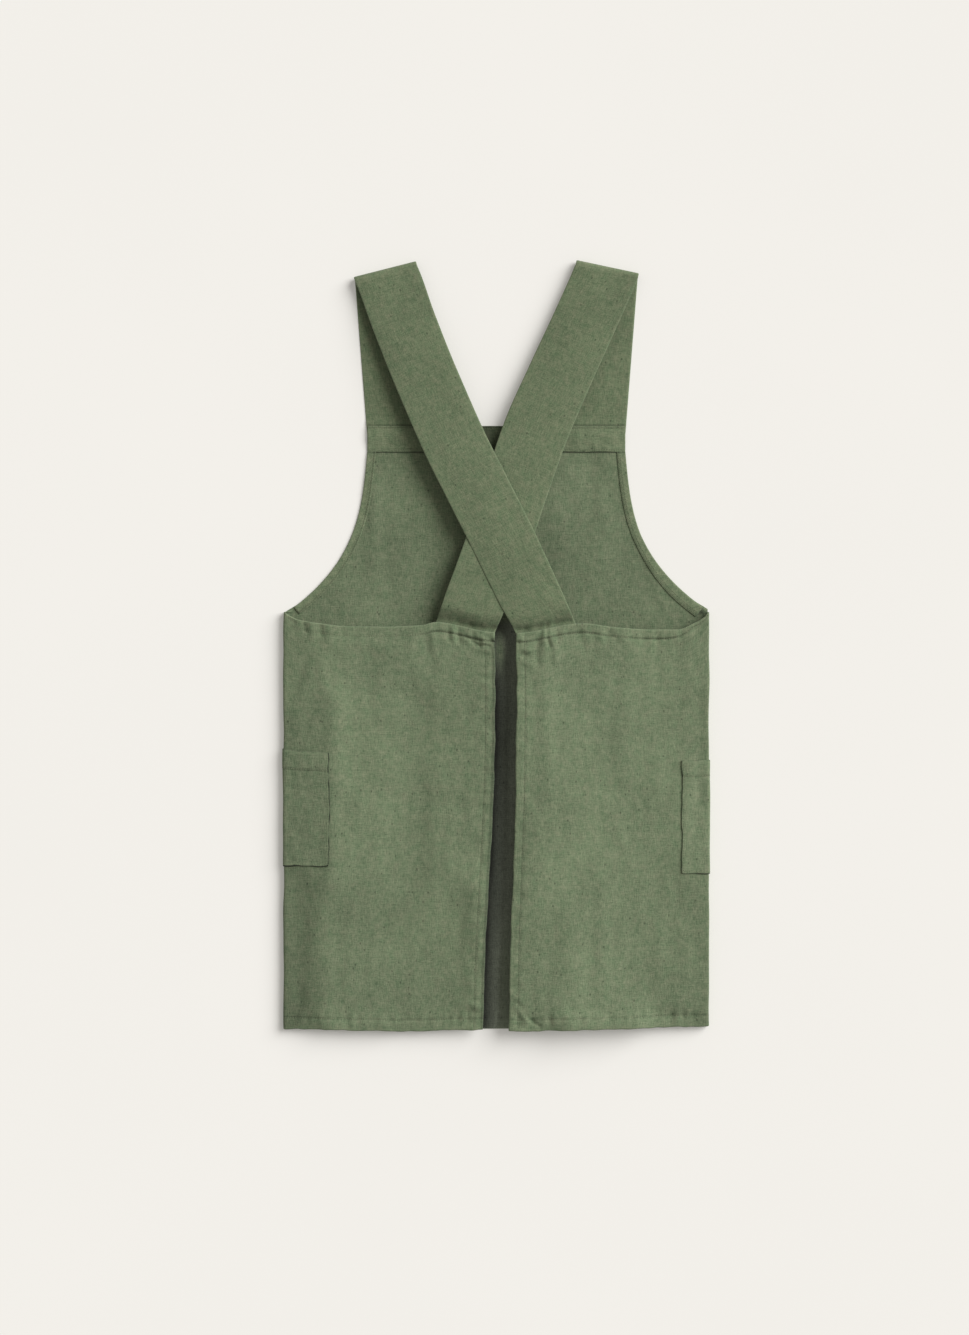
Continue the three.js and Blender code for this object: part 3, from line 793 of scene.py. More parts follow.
@dataclass
class Body:
    """The apron's one main cloth, with its hems."""

    shape: BodyShape
    back_step: float = 3.5
    front_step: float = 6.8
    fine_step: float = 1.9
    row_step: float = 5.8
    fold_step: float = 2.5
    fold_margin: float = 45.0
    slit_margin: float = 60.0
    back_wide: float = 262.0
    hem_fade: float = 2.5
    slit_sway: float = 0.7
    # Paler worn edges, painted shade along the stitch rows and painted shade along the left back's slit
    # edge.
    pale_edge: float = 0.7
    pale_reach: float = 1.4
    stitch_shade: float = 0.45
    stitch_reach: float = 1.2
    bottom_row_share: float = 0.6
    waist_row_share: float = 1.9
    slit_shade: float = 1.5
    slit_shade_reach: float = 2.6
    hidden_tone: float = -0.1
    wrong_tone: float = -0.16
    # Painted shade on the front's wrong side: in the gap between the backs, where lit_patch is a painted
    # patch of light, under the bib facing's edge (band_shade) and at the two waist corners (the pits).
    gap_reach: float = 14.0
    gap_blend: float = 8.0
    lit_patch: Spot = Spot(4, -6, 8, long_y=3.4)
    lit_by: float = 1.5
    right_pit: Spot = Spot(279, 46, 4.5, long_x=1.6)
    right_pit_shade: float = 1.4
    left_pit: Spot = Spot(-276, 50, 2.5, long_x=1.6)
    left_pit_shade: float = 0.8
    band_shade: float = 1.1
    cloth: Cloth = field(init=False)

    def __post_init__(self) -> None:
        """Works out where the fold starts and ends along the grid's first coordinate."""
        plan = self.shape.plan
        self.fold_start = plan.fold_x
        self.fold_end = plan.fold_x + 2 * plan.fold_arc
        self.outermost = self.fold_end + self.back_wide

    def slit_place(self, side: Side, inset: float, y: Array) -> Array:
        """Grid place of a line at an inset from the slit's edge."""
        plan = self.shape.plan
        whole = plan.fold_x - side.value * plan.slit_edge(side, y)
        return side.value * (self.fold_end + self.back_wide * (1 - inset / whole))

    def grid(self) -> tuple[Array, Array]:
        """The grid's places across and along, closest at hems, folds and seams."""
        plan = self.shape.plan
        creased, hemmed = self.fold_end + self.fold_margin, self.outermost - self.slit_margin
        keys = [0, self.fold_start, self.fold_end, creased, hemmed, self.outermost]
        steps = [self.front_step, plan.fold_arc / 5, self.fold_step, self.back_step, self.fine_step]
        half = spread(keys, steps)
        low, waist, band = plan.hem_line, plan.waist, plan.facing_bottom
        rows = [low, low + 20, low + 44, waist - 62, waist - 30, waist, band - 5, band + 2, plan.bib_top]
        along = spread(rows, [self.fine_step, 3, self.row_step, 3, 1.0, 4.2, 0.8, 4.2])
        return np.concatenate([-half[::-1], half[1:]]), along

    def lay(self, side: Side, u: Array, v: Array) -> tuple[Array, Array]:
        """Lays the cloth's half on one side.

        Args:
            side: Which half.
            u: Grid places across.
            v: Grid places along.

        Returns:
            The points of the cloth's middle, and how far its wrong side lies from there.
        """
        shape, plan = self.shape, self.shape.plan
        far = np.abs(u)
        on_back = far > self.fold_end
        share = np.clip((far - self.fold_end) / self.back_wide, 0, 1)
        slit = plan.slit_edge(side, v)
        x_back = mix(side.value * plan.fold_x, slit, share)
        x_back = x_back + self.slit_sway * share**10 * shape.slit_wander.at(v, 70 * side.value)
        front_x = far / self.fold_start * plan.armhole_half(side, v)
        girth = far - self.fold_start - plan.fold_arc
        on_front = far < self.fold_start + GRID_SLACK
        girth = np.where(on_front, -(plan.fold_arc + plan.fold_x - front_x), girth)
        girth = np.where(on_back, plan.fold_arc + plan.fold_x - side.value * x_back, girth)
        across = plan.across_back(side, x_back, v)
        inward = 1 - smooth((plan.fold_x - front_x) / 150)
        front_y = v - inward * shape.low_drop(side, across * 0, v)
        y = np.where(on_back, v - shape.row_drop(side, across, v), front_y)
        from_low = v - plan.hem_line
        from_edges = np.minimum(np.minimum(side.value * (x_back - slit), from_low), plan.waist - v)
        in_hem = (plan.hem - np.where(on_back, from_edges, from_low)) / self.hem_fade + 0.5
        return shape.point(side, girth, y), plan.half_cloth + plan.cloth * smooth(in_hem)

    def wear_and_shade(self, u: Array, v: Array, x: Array) -> Array:
        """Paler worn edges of the right side, and painted shade along its stitch rows, its left slit edge
        and its folds.
        """
        shape, plan = self.shape, self.shape.plan
        on_back = np.abs(u) > self.fold_end
        slit_in = np.where(u > 0, x - plan.slit_edge(Side.RIGHT, v), plan.slit_edge(Side.LEFT, v) - x)
        from_low, from_waist = v - plan.hem_line, plan.waist - v
        slit_row = hump(slit_in - shape.slit_stitch, self.stitch_reach)
        waist_row = hump(from_waist - shape.waist_stitch_at(x), self.stitch_reach)
        waist_row = self.waist_row_share * shape.drawn(x) * waist_row
        bottom_row = hump(from_low - shape.bottom_stitch, shape.bottom_seam.groove_width)
        rows = self.bottom_row_share * bottom_row + on_back * (slit_row + waist_row)
        edge = np.minimum(np.where(on_back, np.minimum(from_waist, slit_in), from_low), from_low)
        rub_and_shade = self.pale_edge * hump(np.maximum(edge, 0), self.pale_reach) - self.stitch_shade * rows
        # Painted shade along the left back's slit edge.
        shaded = on_back & (u < 0) & (from_waist > 6)
        rub_and_shade = rub_and_shade - self.slit_shade * shaded * hump(slit_in, self.slit_shade_reach)
        return rub_and_shade - shape.fold_shade(x, v) * (np.abs(u) > self.fold_start)

    def wrong_side(self, x: Array, y: Array) -> tuple[Array, Array]:
        """How the front's wrong side looks: its tone, with painted shade in the gap between the backs, at
        the waist corners and under the bib facing, and a painted patch of light in the gap.

        Args:
            x: Each place's x.
            y: Each place's y.

        Returns:
            Its tone and painted shade, below 0 where it is darker, and how far painted shade turns it grey.
        """
        plan = self.shape.plan
        from_left = x - plan.slit_edge(Side.LEFT, y)
        from_right = plan.slit_edge(Side.RIGHT, y) - x
        left_share = smooth((from_left + self.gap_reach) / self.gap_blend)
        in_gap = left_share * smooth((from_right + self.gap_reach) / self.gap_blend)
        in_gap = in_gap * smooth((plan.waist - 6 - y) / 14)
        lit = self.lit_patch.at(x, y)
        # Painted shade in the gap between the backs: darkest along the left back's edge, paler towards the
        # right and the hem, and lifted where lit, a painted patch of light, lies.
        gap_shade = 0.6 * hump(np.maximum(from_left, 0), 4.5) + mix(1.0, -0.5, smooth((from_left - 6) / 28))
        gap_shade = gap_shade - 0.9 * smooth((-330 - y) / 120) * smooth((from_left - 3) / 26) - self.lit_by * lit
        # A painted shadow under the bib facing's lower edge, and painted shade at the two waist corners.
        under_band_shadow = self.band_shade * hump(y - plan.facing_bottom + 0.9, 1.3)
        right_pit = self.right_pit_shade * self.right_pit.at(x, y)
        left_pit = self.left_pit_shade * self.left_pit.at(x, y)
        wrong = self.wrong_tone - in_gap * gap_shade - under_band_shadow - right_pit - left_pit
        return wrong, in_gap * (1 - 0.95 * lit)

    def build(self) -> bpy.types.Object:
        """Makes the body's mesh."""
        plan = self.shape.plan
        across, along = self.grid()
        u, v = np.meshgrid(across, along, indexing="ij")
        left, left_inner = self.lay(Side.LEFT, u, v)
        right, right_inner = self.lay(Side.RIGHT, u, v)
        middle = np.where((u < 0)[..., None], left, right)
        inner = np.where(u < 0, left_inner, right_inner)
        x, y = middle[..., 0], middle[..., 1]
        far = np.abs(u)
        kept = (v <= plan.waist + GRID_SLACK) | (far <= self.fold_start + GRID_SLACK)
        on_bib = (v > plan.waist) & (far <= self.fold_start)
        weave = np.stack([np.where(on_bib, x, u), v], axis=-1)
        outer = np.full(u.shape, plan.half_cloth)
        rub_and_shade = self.wear_and_shade(u, v, x)
        wrong, greyed_in_shade = self.wrong_side(x, y)
        on_front = far < self.fold_start
        wrong = np.where(on_front, wrong, self.hidden_tone)
        self.cloth = Cloth(
            across, along, middle, outer, inner, weave, rub_and_shade, True, kept, wrong, greyed_in_shade * on_front
        )
        return self.cloth.mesh("body_linen")

    def sew(self, thread: Stitching) -> None:
        """Sews the hems of the backs."""
        shape, plan = self.shape, self.shape.plan
        low, waist = plan.hem_line, plan.waist
        for side in Side:
            run = np.arange(low + 4, waist - 3, 1.0)
            thread.sew(self.cloth, self.slit_place(side, shape.slit_stitch, run), run)
            walk = side.value * np.arange(self.fold_end - 6, self.outermost - 3, 1.0)
            thread.sew(self.cloth, walk, low + shape.bottom_stitch)
            x_walk = self.cloth.sample(self.cloth.middle, walk, waist - 12 + 0 * walk)[:, 0]
            thread.sew(self.cloth, walk, waist - shape.waist_stitch_at(x_walk))


@dataclass
class BibFacing:
    """The band along the top of the bib, which holds the strap ends."""

    shape: BodyShape
    strap_width: float = 84.5
    strap_tuck: float = 12.0
    strap_thick: float = 1.6
    slope: float = 17.0
    wave: Ripple = Ripple(31, 8, 22, 1.0)
    top_wander: Ripple = Ripple(32, 30, 120)
    cloth: Cloth = field(init=False)

    def build(self) -> bpy.types.Object:
        """Makes the facing's mesh."""
        plan = self.shape.plan
        half = plan.bib_half
        across = spread([-half, -half + 90, half - 90, half], [1.8, 2.4, 1.8])
        along = spread([plan.facing_bottom, plan.bib_top], [1.7])
        x, y = np.meshgrid(across, along, indexing="ij")
        strap_edge = half - self.strap_width - plan.gap
        strap_end = plan.bib_top - self.strap_tuck - plan.gap
        over = smooth((np.abs(x) - strap_edge) / self.slope + 1) * smooth((y - strap_end) / self.slope + 1)
        z = self.shape.front_height(x, y) + plan.pitch + (self.strap_thick + plan.gap) * over
        z = z + 0.1 * self.wave.at(x, y * 0.6) * smooth((y - along[0]) / 8)
        z = z - 0.35 * hump(y - along[0] - 2.2, 1.1) - 0.3 * hump(plan.bib_top - y - 2.6, 1.2)
        wander = 0.5 * self.top_wander.at(x) * smooth((along[-1] - y) / 30)
        middle = np.stack([x, y + wander, z], axis=-1)
        thick = np.full(x.shape, plan.half_cloth)
        # Paler where worn along the lower edge; painted shade in the stitch grooves and along the top edge
        # where the straps go in, and a painted shadow of the straps in the middle.
        rub_and_shade = 0.5 * hump(y - along[0], 1.2) - 0.5 * hump(y - along[0] - 2.4, 1.0)
        rub_and_shade = rub_and_shade - 0.5 * hump(plan.bib_top - y - 1.2, 1.3) - 1.0 * hump(x + 11, 17)
        weave = np.stack([y + 40, x], axis=-1)
        self.cloth = Cloth(across, along, middle, thick, thick.copy(), weave, rub_and_shade)
        return self.cloth.mesh("bib_facing_linen")

    def sew(self, thread: Stitching) -> None:
        """Sews the facing's edges down."""
        across = np.arange(self.cloth.across[0] + 2, self.cloth.across[-1] - 2, 1.0)
        thread.sew(self.cloth, across, self.cloth.along[0] + 2.2)
        thread.sew(self.cloth, across, self.cloth.along[-1] - 2.6)


@dataclass
class ArmholeFacing:
    """The narrow binding inside one armhole."""

    shape: BodyShape
    side: Side
    width: float = 11.0
    end: float = 0.97
    flare: float = 0.0
    columns: int = 150
    rows: int = 9
    wave: Ripple = Ripple(41, 8, 20)
    cloth: Cloth = field(init=False)

    def build(self) -> bpy.types.Object:
        """Makes the binding's mesh."""
        plan = self.shape.plan
        rise = plan.facing_bottom - plan.waist
        share = np.linspace(0, self.end, self.columns)
        y_edge = plan.facing_bottom - share * rise
        edge = np.stack([plan.armhole_half(self.side, y_edge), y_edge], axis=-1)
        ahead = unit(np.gradient(edge, axis=0))
        inward = np.stack([ahead[:, 1], -ahead[:, 0]], axis=-1)
        inward[0] = (-1, 0)
        run = np.concatenate([[0], np.cumsum(np.linalg.norm(np.diff(edge, axis=0), axis=1))])
        part = np.linspace(0, self.width, self.rows)
        widened = 1 + self.flare * smooth((share - 0.55) / 0.35)
        at = edge[:, None] + inward[:, None] * (part[None] * widened[:, None])[..., None]
        x = self.side.value * at[..., 0]
        y = np.minimum(at[..., 1], plan.facing_bottom - plan.gap)
        along = np.broadcast_to(run[:, None], x.shape)
        across = np.broadcast_to(part[None], x.shape)
        z = self.shape.front_height(x, y) + plan.pitch
        z = z - 0.3 * hump(across - self.width + 2, 1.1) + 0.1 * self.wave.at(along, across)
        middle = np.stack([x, y, z], axis=-1)
        thick = np.full(x.shape, plan.half_cloth)
        weave = np.stack([(along + across) * 0.7, (along - across) * 0.7], axis=-1)
        # Paler where worn along the outer edge; painted shade in the inner stitch groove, and a painted
        # shadow just below the bib facing's lower edge.
        rub_and_shade = 0.3 * hump(across, 1.3) - 0.7 * hump(self.width - across - 1.8, 1.1)
        rub_and_shade = rub_and_shade - 1.1 * hump(plan.facing_bottom - y - 0.9, 1.3)
        flip = self.side is Side.RIGHT
        self.cloth = Cloth(run, part, middle, thick, thick.copy(), weave, rub_and_shade, not flip)
        if self.cloth.normal[5, 4, 2] < 0:
            self.cloth.flip = not self.cloth.flip
            self.cloth.renew()
        return self.cloth.mesh(f"armhole_facing_{self.side.label}_linen")

    def sew(self, thread: Stitching) -> None:
        """Sews the binding's inner edge with two rows."""
        run = np.arange(3, self.cloth.across[-1] - 3, 1.0)
        for off in (1.6, 4.4):
            thread.sew(self.cloth, run, self.width - off)


@dataclass
class Pocket:
    """A patch pocket that wraps one side fold."""

    shape: BodyShape
    side: Side
    back_show: float
    bottom: float
    tilt: float
    mouth_hem: float
    wide: float = 165.0
    tall: float = 152.0
    puff: float = 1.2
    # outline and edge_shadow_wander set a painted shadow line round the pocket's open side and bottom, and a
    # fainter one along its top.
    outline_shadow: float = 1.6
    # paler lifts the whole pocket's colour as painted light.
    paler: float = 0.0
    bow: float = 0.0
    stitch_inset: float = 2.6
    edge_shadow_wander: Ripple = Ripple(57, 9, 40)
    side_wander: Ripple = Ripple(58, 16, 70)
    row_wander: Ripple = Ripple(59, 16, 60)
    cloth: Cloth = field(init=False)

    def build(self) -> bpy.types.Object:
        """Makes the pocket's mesh."""
        plan = self.shape.plan
        back = plan.fold_arc + self.back_show * self.wide - plan.fold_radius
        front = self.wide - back
        keys = [-front, -plan.fold_arc, plan.fold_arc, back]
        girths = spread(keys, [5, plan.fold_arc / 6, 1.9])[::-1]
        heights = spread([0, self.tall], [1.9])
        girth, up = np.meshgrid(girths, heights, indexing="ij")
        on_back = np.maximum(girth, 0) / back
        share = up / self.tall
        y = plan.hem_line + self.bottom * plan.waist_height + share * (
            self.tall + self.tilt * self.wide * (1 - on_back)
        )
        middle = self.shape.point(self.side, girth, y)
        thick = np.full(girth.shape, plan.half_cloth)
        doubled = plan.cloth * 0.25 * smooth((up - self.tall + self.mouth_hem) / 2 + 0.5)
        weave = np.stack([girth * self.side.value, up], axis=-1)
        bow = 0.7 * self.side_wander.at(up) + self.bow * np.sin(math.pi * share)
        middle[..., 0] -= self.side.value * bow * smooth(girth / back) ** 4
        middle[..., 1] += 0.5 * self.row_wander.at(girth) * (2 * share - 1)
        edge = np.minimum(np.minimum(back - girth, up), self.tall - up)
        mouth_line = hump(self.tall - up - self.mouth_hem, 1.3)
        # Paler where worn just inside the edges; painted shade in the mouth hem's stitch groove.
        rub_and_shade = 0.8 * hump(edge - 1.9, 1.2) - 0.55 * mouth_line
        # A painted shadow line round the pocket's edges, and painted shade beside the side fold.
        edge_shadow_strength = 1.0 + 0.4 * self.edge_shadow_wander.at(girth + up)
        sides = self.outline_shadow * hump(np.minimum(back - girth, up), 0.9)
        # paler lifts the colour as painted light.
        rub_and_shade = rub_and_shade + self.paler - edge_shadow_strength * (sides + 0.5 * hump(self.tall - up, 0.9))
        rub_and_shade = rub_and_shade - self.shape.fold_shade(middle[..., 0], y)
        flip = self.side is Side.LEFT
        self.cloth = Cloth(-girths, heights, middle, thick + doubled, thick.copy(), weave, rub_and_shade, flip)
        puff = self.puff * smooth((share - 0.6) / 0.4) * np.sin(math.pi * on_back)
        seam = -0.35 * mouth_line - 0.3 * hump(edge - self.stitch_inset, 1.2)
        soft = 0.16 * Ripple(51 + self.side.value, 10, 34, 1.2).at(girth, y) * smooth(edge / 12)
        on_top = smooth(girth / 12)
        self.cloth.lift(plan.pitch + on_top * (0.3 + np.maximum(puff + seam + soft, -0.3)))
        return self.cloth.mesh(f"pocket_{self.side.label}_linen")

    def sew(self, thread: Stitching) -> None:
        """Sews the pocket's mouth hem, its side and its bottom."""
        cloth = self.cloth
        inset = self.stitch_inset
        across = np.arange(cloth.across[0] + inset, cloth.across[-1] - 2, 1.0)
        up = np.arange(inset, self.tall - 1, 1.0)
        thread.sew(cloth, across, self.tall - self.mouth_hem)
        thread.sew(cloth, across, inset)
        thread.sew(cloth, cloth.across[0] + inset, up)
        thread.sew(cloth, cloth.across[-1] - inset, up)


@dataclass
class Strap:
    """A strap of doubled linen, from the bib over its shoulder fold to the other side's back."""

    shape: BodyShape
    side: Side
    slant: float
    rise: float
    run: Table
    wide: float = 84.5
    thick: float = 1.6
    tuck: float = 12.0
    shoulder_span: float = 300.0
    shoulder_rise: float = 214.0
    loft: float = 28.0
    crown: float = 0.8
    seam_run: float = 24.0
    square_by: float = 0.25
    slant_from: float = 0.7
    fold_rows: int = 15
    fold_lap: float = 11.0
    fold_lap_thick: float = 0.22
    swell: float = 0.5
    crumple: float = 0.1
    sag: float = 3.4
    sag_reach: float = 108.0
    step: float = 2.6
    cloth: Cloth = field(init=False)

    def __post_init__(self) -> None:
        """Works out where the strap starts, folds over and ends, seen from above."""
        plan, s = self.shape.plan, self.side.value
        angle = math.radians(self.slant)
        self.fold_way = np.array([math.cos(angle), -s * math.sin(angle)])
        self.outward = np.array([-self.fold_way[1], self.fold_way[0]])
        self.fold_top = self.loft * float(self.run.read("loft", 0.0)) - self.thick / 2
        self.radius = (self.fold_top - self.thick / 2) / 2
        shoulder = np.array([s * self.shoulder_span / 2, plan.bib_top + self.shoulder_rise * self.rise])
        self.axis = shoulder - self.outward * self.radius
        self.start = np.array([s * (plan.bib_half - self.wide / 2), plan.bib_top - self.tuck])
        self.front = self.axis - self.start
        seam_inner = float(plan.slit_edge(self.side.other, plan.waist))
        end_wide = self.wide * float(self.run.read("width", 1.0))
        self.back = self.seam(seam_inner - s * end_wide / 2) - self.axis
        self.seam_way = unit((self.seam(seam_inner - s * end_wide) - self.seam(seam_inner)) * -s)

    def seam(self, x: float) -> Array:
        """The place at x on the seam that holds the strap's end."""
        plan, other = self.shape.plan, self.side.other
        return np.array([x, float(plan.waist_line(other, plan.across_back(other, x, plan.waist)))])

    def rows(self) -> tuple[Array, ...]:
        """Rows across the strap, seen from above.

        Returns:
            Each row's middle, half its width as a vector, its height, its part of the strap and its place
            along it.
        """
        front_long = float(np.linalg.norm(self.front))
        along = spread([0, front_long], [self.step])[:-1]
        share = (along / front_long)[:, None]
        ways = unit(mix(np.array([[1.0, 0.0]]), self.fold_way, smooth(share)))
        halves = self.half_widths(ways, self.front)
        low = np.full(len(along), self.thick / 2)
        front = (self.start + self.front * share, halves, low, 0 * along + FRONT_RUN, along)
        turn = np.linspace(-math.pi / 2, math.pi / 2, self.fold_rows)
        middles = self.axis + self.outward * (self.radius * np.cos(turn))[:, None]
        halves = self.half_widths(np.repeat(self.fold_way[None], len(turn), axis=0), self.front)
        z = mix(self.thick / 2, self.fold_top, (1 + np.sin(turn)) / 2)
        around = front_long + (turn + math.pi / 2) * self.radius
        fold = (middles, halves, z, 0 * turn + FOLD_RUN, around)
        back_long = float(np.linalg.norm(self.back))
        along = spread([0, back_long + self.tuck], [self.step])[1:]
        share = along / back_long
        square = unit(np.array([-self.back[1], self.back[0]]))
        sway = self.side.value * self.wide * self.run.read("sway", share)
        middles = self.axis + self.back * share[:, None] - square * sway[:, None]
        ways = mix(self.fold_way, square, smooth(share / self.square_by)[:, None])
        turned = smooth((share - self.slant_from) / (1 - self.slant_from))[:, None]
        ways = unit(mix(ways, self.seam_way, turned))
        halves = self.half_widths(ways, self.back) * self.run.read("width", share)[:, None]
        z = self.loft * self.run.read("loft", share) - self.thick / 2
        back = (middles, halves, z, 0 * along + BACK_RUN, around[-1] + along)
        return tuple(np.concatenate(columns) for columns in zip(front, fold, back))

    def half_widths(self, ways: Array, path: Array) -> Array:
        """Half the strap's width as a vector: its width is square to its path."""
        skew = ways @ (path / np.linalg.norm(path))
        return ways * (self.wide / 2 / np.sqrt(1 - skew**2))[:, None]

    def build(self) -> bpy.types.Object:
        """Makes the strap's mesh."""
        plan, other = self.shape.plan, self.side.other
        middles, halves, z_row, part_row, along_row = self.rows()
        keys = [-1, -0.985, -0.955, -0.9, 0.9, 0.955, 0.985, 1]
        across = spread(keys, [1, 1, 0.03, 0.072, 0.03, 1, 1])
        a, along = np.meshgrid(across, along_row, indexing="ij")
        part = np.broadcast_to(part_row, a.shape)
        x = middles[:, 0] + halves[:, 0] * a
        y = middles[:, 1] + halves[:, 1] * a
        off_middle = a * self.wide / 2
        beside = self.wide / 2 - np.abs(off_middle)
        line = plan.waist_line(other, plan.across_back(other, x, plan.waist))
        down = smooth(1 - (y - line - plan.gap) / self.seam_run)
        hem_inside = plan.half_cloth + plan.cloth + plan.gap + self.thick / 2
        under = self.shape.back_height(other, x, np.minimum(y, line)) - hem_inside
        seed = 60 + self.side.value
        swell = self.swell * Ripple(seed, 50, 180, 2.0).at(off_middle, along)
        swell = swell + self.crumple * Ripple(seed + 5, 12, 34, 1.6, 36).at(off_middle, along)
        swell = swell * smooth((along - 16) / 30) * (1 - down)
        crown = self.crown * (1 - a**2) * smooth((y - plan.waist) / self.seam_run)
        valley = hump(y - line - 5.5, 4) * (1 + 0.3 * Ripple(seed + 9, 9, 26).at(x))
        valley = valley * mix(0.3, 1.0, smooth((self.sag_reach - np.abs(x)) / 34))
        over_bib = plan.pitch * smooth((plan.bib_top + plan.gap - y) / 14 + 1)
        front_z = z_row + over_bib + np.maximum(swell, 0)
        back_z = mix(z_row + crown + swell, under, down) - self.sag * valley
        z = np.where(part == FRONT_RUN, front_z, np.where(part == FOLD_RUN, z_row + 0 * a, back_z))
        puffy = self.thick / 2 * mix(0.5, 1.0, smooth(beside / 1.5 + 0.15))
        seam_side = (1 + a * self.side.value) * self.wide / 2
        lap = smooth((self.fold_lap - seam_side) / 3) * smooth(beside / 3)
        outer = puffy + self.fold_lap_thick * lap
        # Paler where worn along both edges; a painted shadow along the bib facing's edge on the front run,
        # and painted shade in the dip before the seam on the back run.
        band_edge_shadow = 0.75 * hump(y - plan.bib_top - 1.2, 1.3)
        rub_and_shade = 0.8 * hump(beside, 1.5) - np.where(part == FRONT_RUN, band_edge_shadow, 0.7 * valley * down)
        middle = np.stack([x, y, z], axis=-1)
        weave = np.stack([off_middle, along], axis=-1)
        self.cloth = Cloth(across, along_row, middle, outer, puffy, weave, rub_and_shade)
        return self.cloth.mesh(f"strap_{self.side.label}_linen")


def add(
    tree: bpy.types.NodeTree, kind: str, links: dict[str | int, object] | None = None, **settings: object
) -> bpy.types.Node:
    """Adds a node with its settings and links.

    Args:
        tree: The material's nodes.
        kind: The node's type.
        links: For each input, the socket that feeds it, or its value.
        **settings: The node's own settings.

    Returns:
        The new node.
    """
    node = tree.nodes.new(kind)
    for name, value in settings.items():
        setattr(node, name, value)
    for socket, source in (links or {}).items():
        if isinstance(source, bpy.types.NodeSocket):
            tree.links.new(source, node.inputs[socket])
        else:
            node.inputs[socket].default_value = source
    return node


def attribute(tree: bpy.types.NodeTree, name: str, output: str) -> bpy.types.NodeSocket:
    """Reads what a piece stores for each vertex."""
    return add(tree, "ShaderNodeAttribute", attribute_name=name).outputs[output]


def remap(tree: bpy.types.NodeTree, source: object, *ends: float) -> bpy.types.NodeSocket:
    """Turns a range of values to another one: its two ends, then what they become, or else 0 and 1."""
    return add(tree, "ShaderNodeMapRange", dict(enumerate((source, *ends)))).outputs[0]


def blend(tree: bpy.types.NodeTree, share: object, first: object, second: object) -> bpy.types.NodeSocket:
    """Blends two colours by a share."""
    return add(tree, "ShaderNodeMix", {0: share, 6: first, 7: second}, data_type="RGBA").outputs[2]


def scaled(tree: bpy.types.NodeTree, colour: object, level: object) -> bpy.types.NodeSocket:
    """Makes a colour lighter or darker."""
    return add(tree, "ShaderNodeVectorMath", {0: colour, "Scale": level}, operation="SCALE").outputs[0]


def times(tree: bpy.types.NodeTree, first: object, second: object) -> bpy.types.NodeSocket:
    """Multiplies two numbers."""
    return add(tree, "ShaderNodeMath", {0: first, 1: second}, operation="MULTIPLY").outputs[0]


def blank_material(name: str) -> tuple[bpy.types.Material, bpy.types.NodeTree]:
    """Makes a material without nodes, and gives its empty tree too."""
    made = bpy.data.materials.new(name)
    made.use_nodes = True
    made.node_tree.nodes.clear()
    return made, made.node_tree


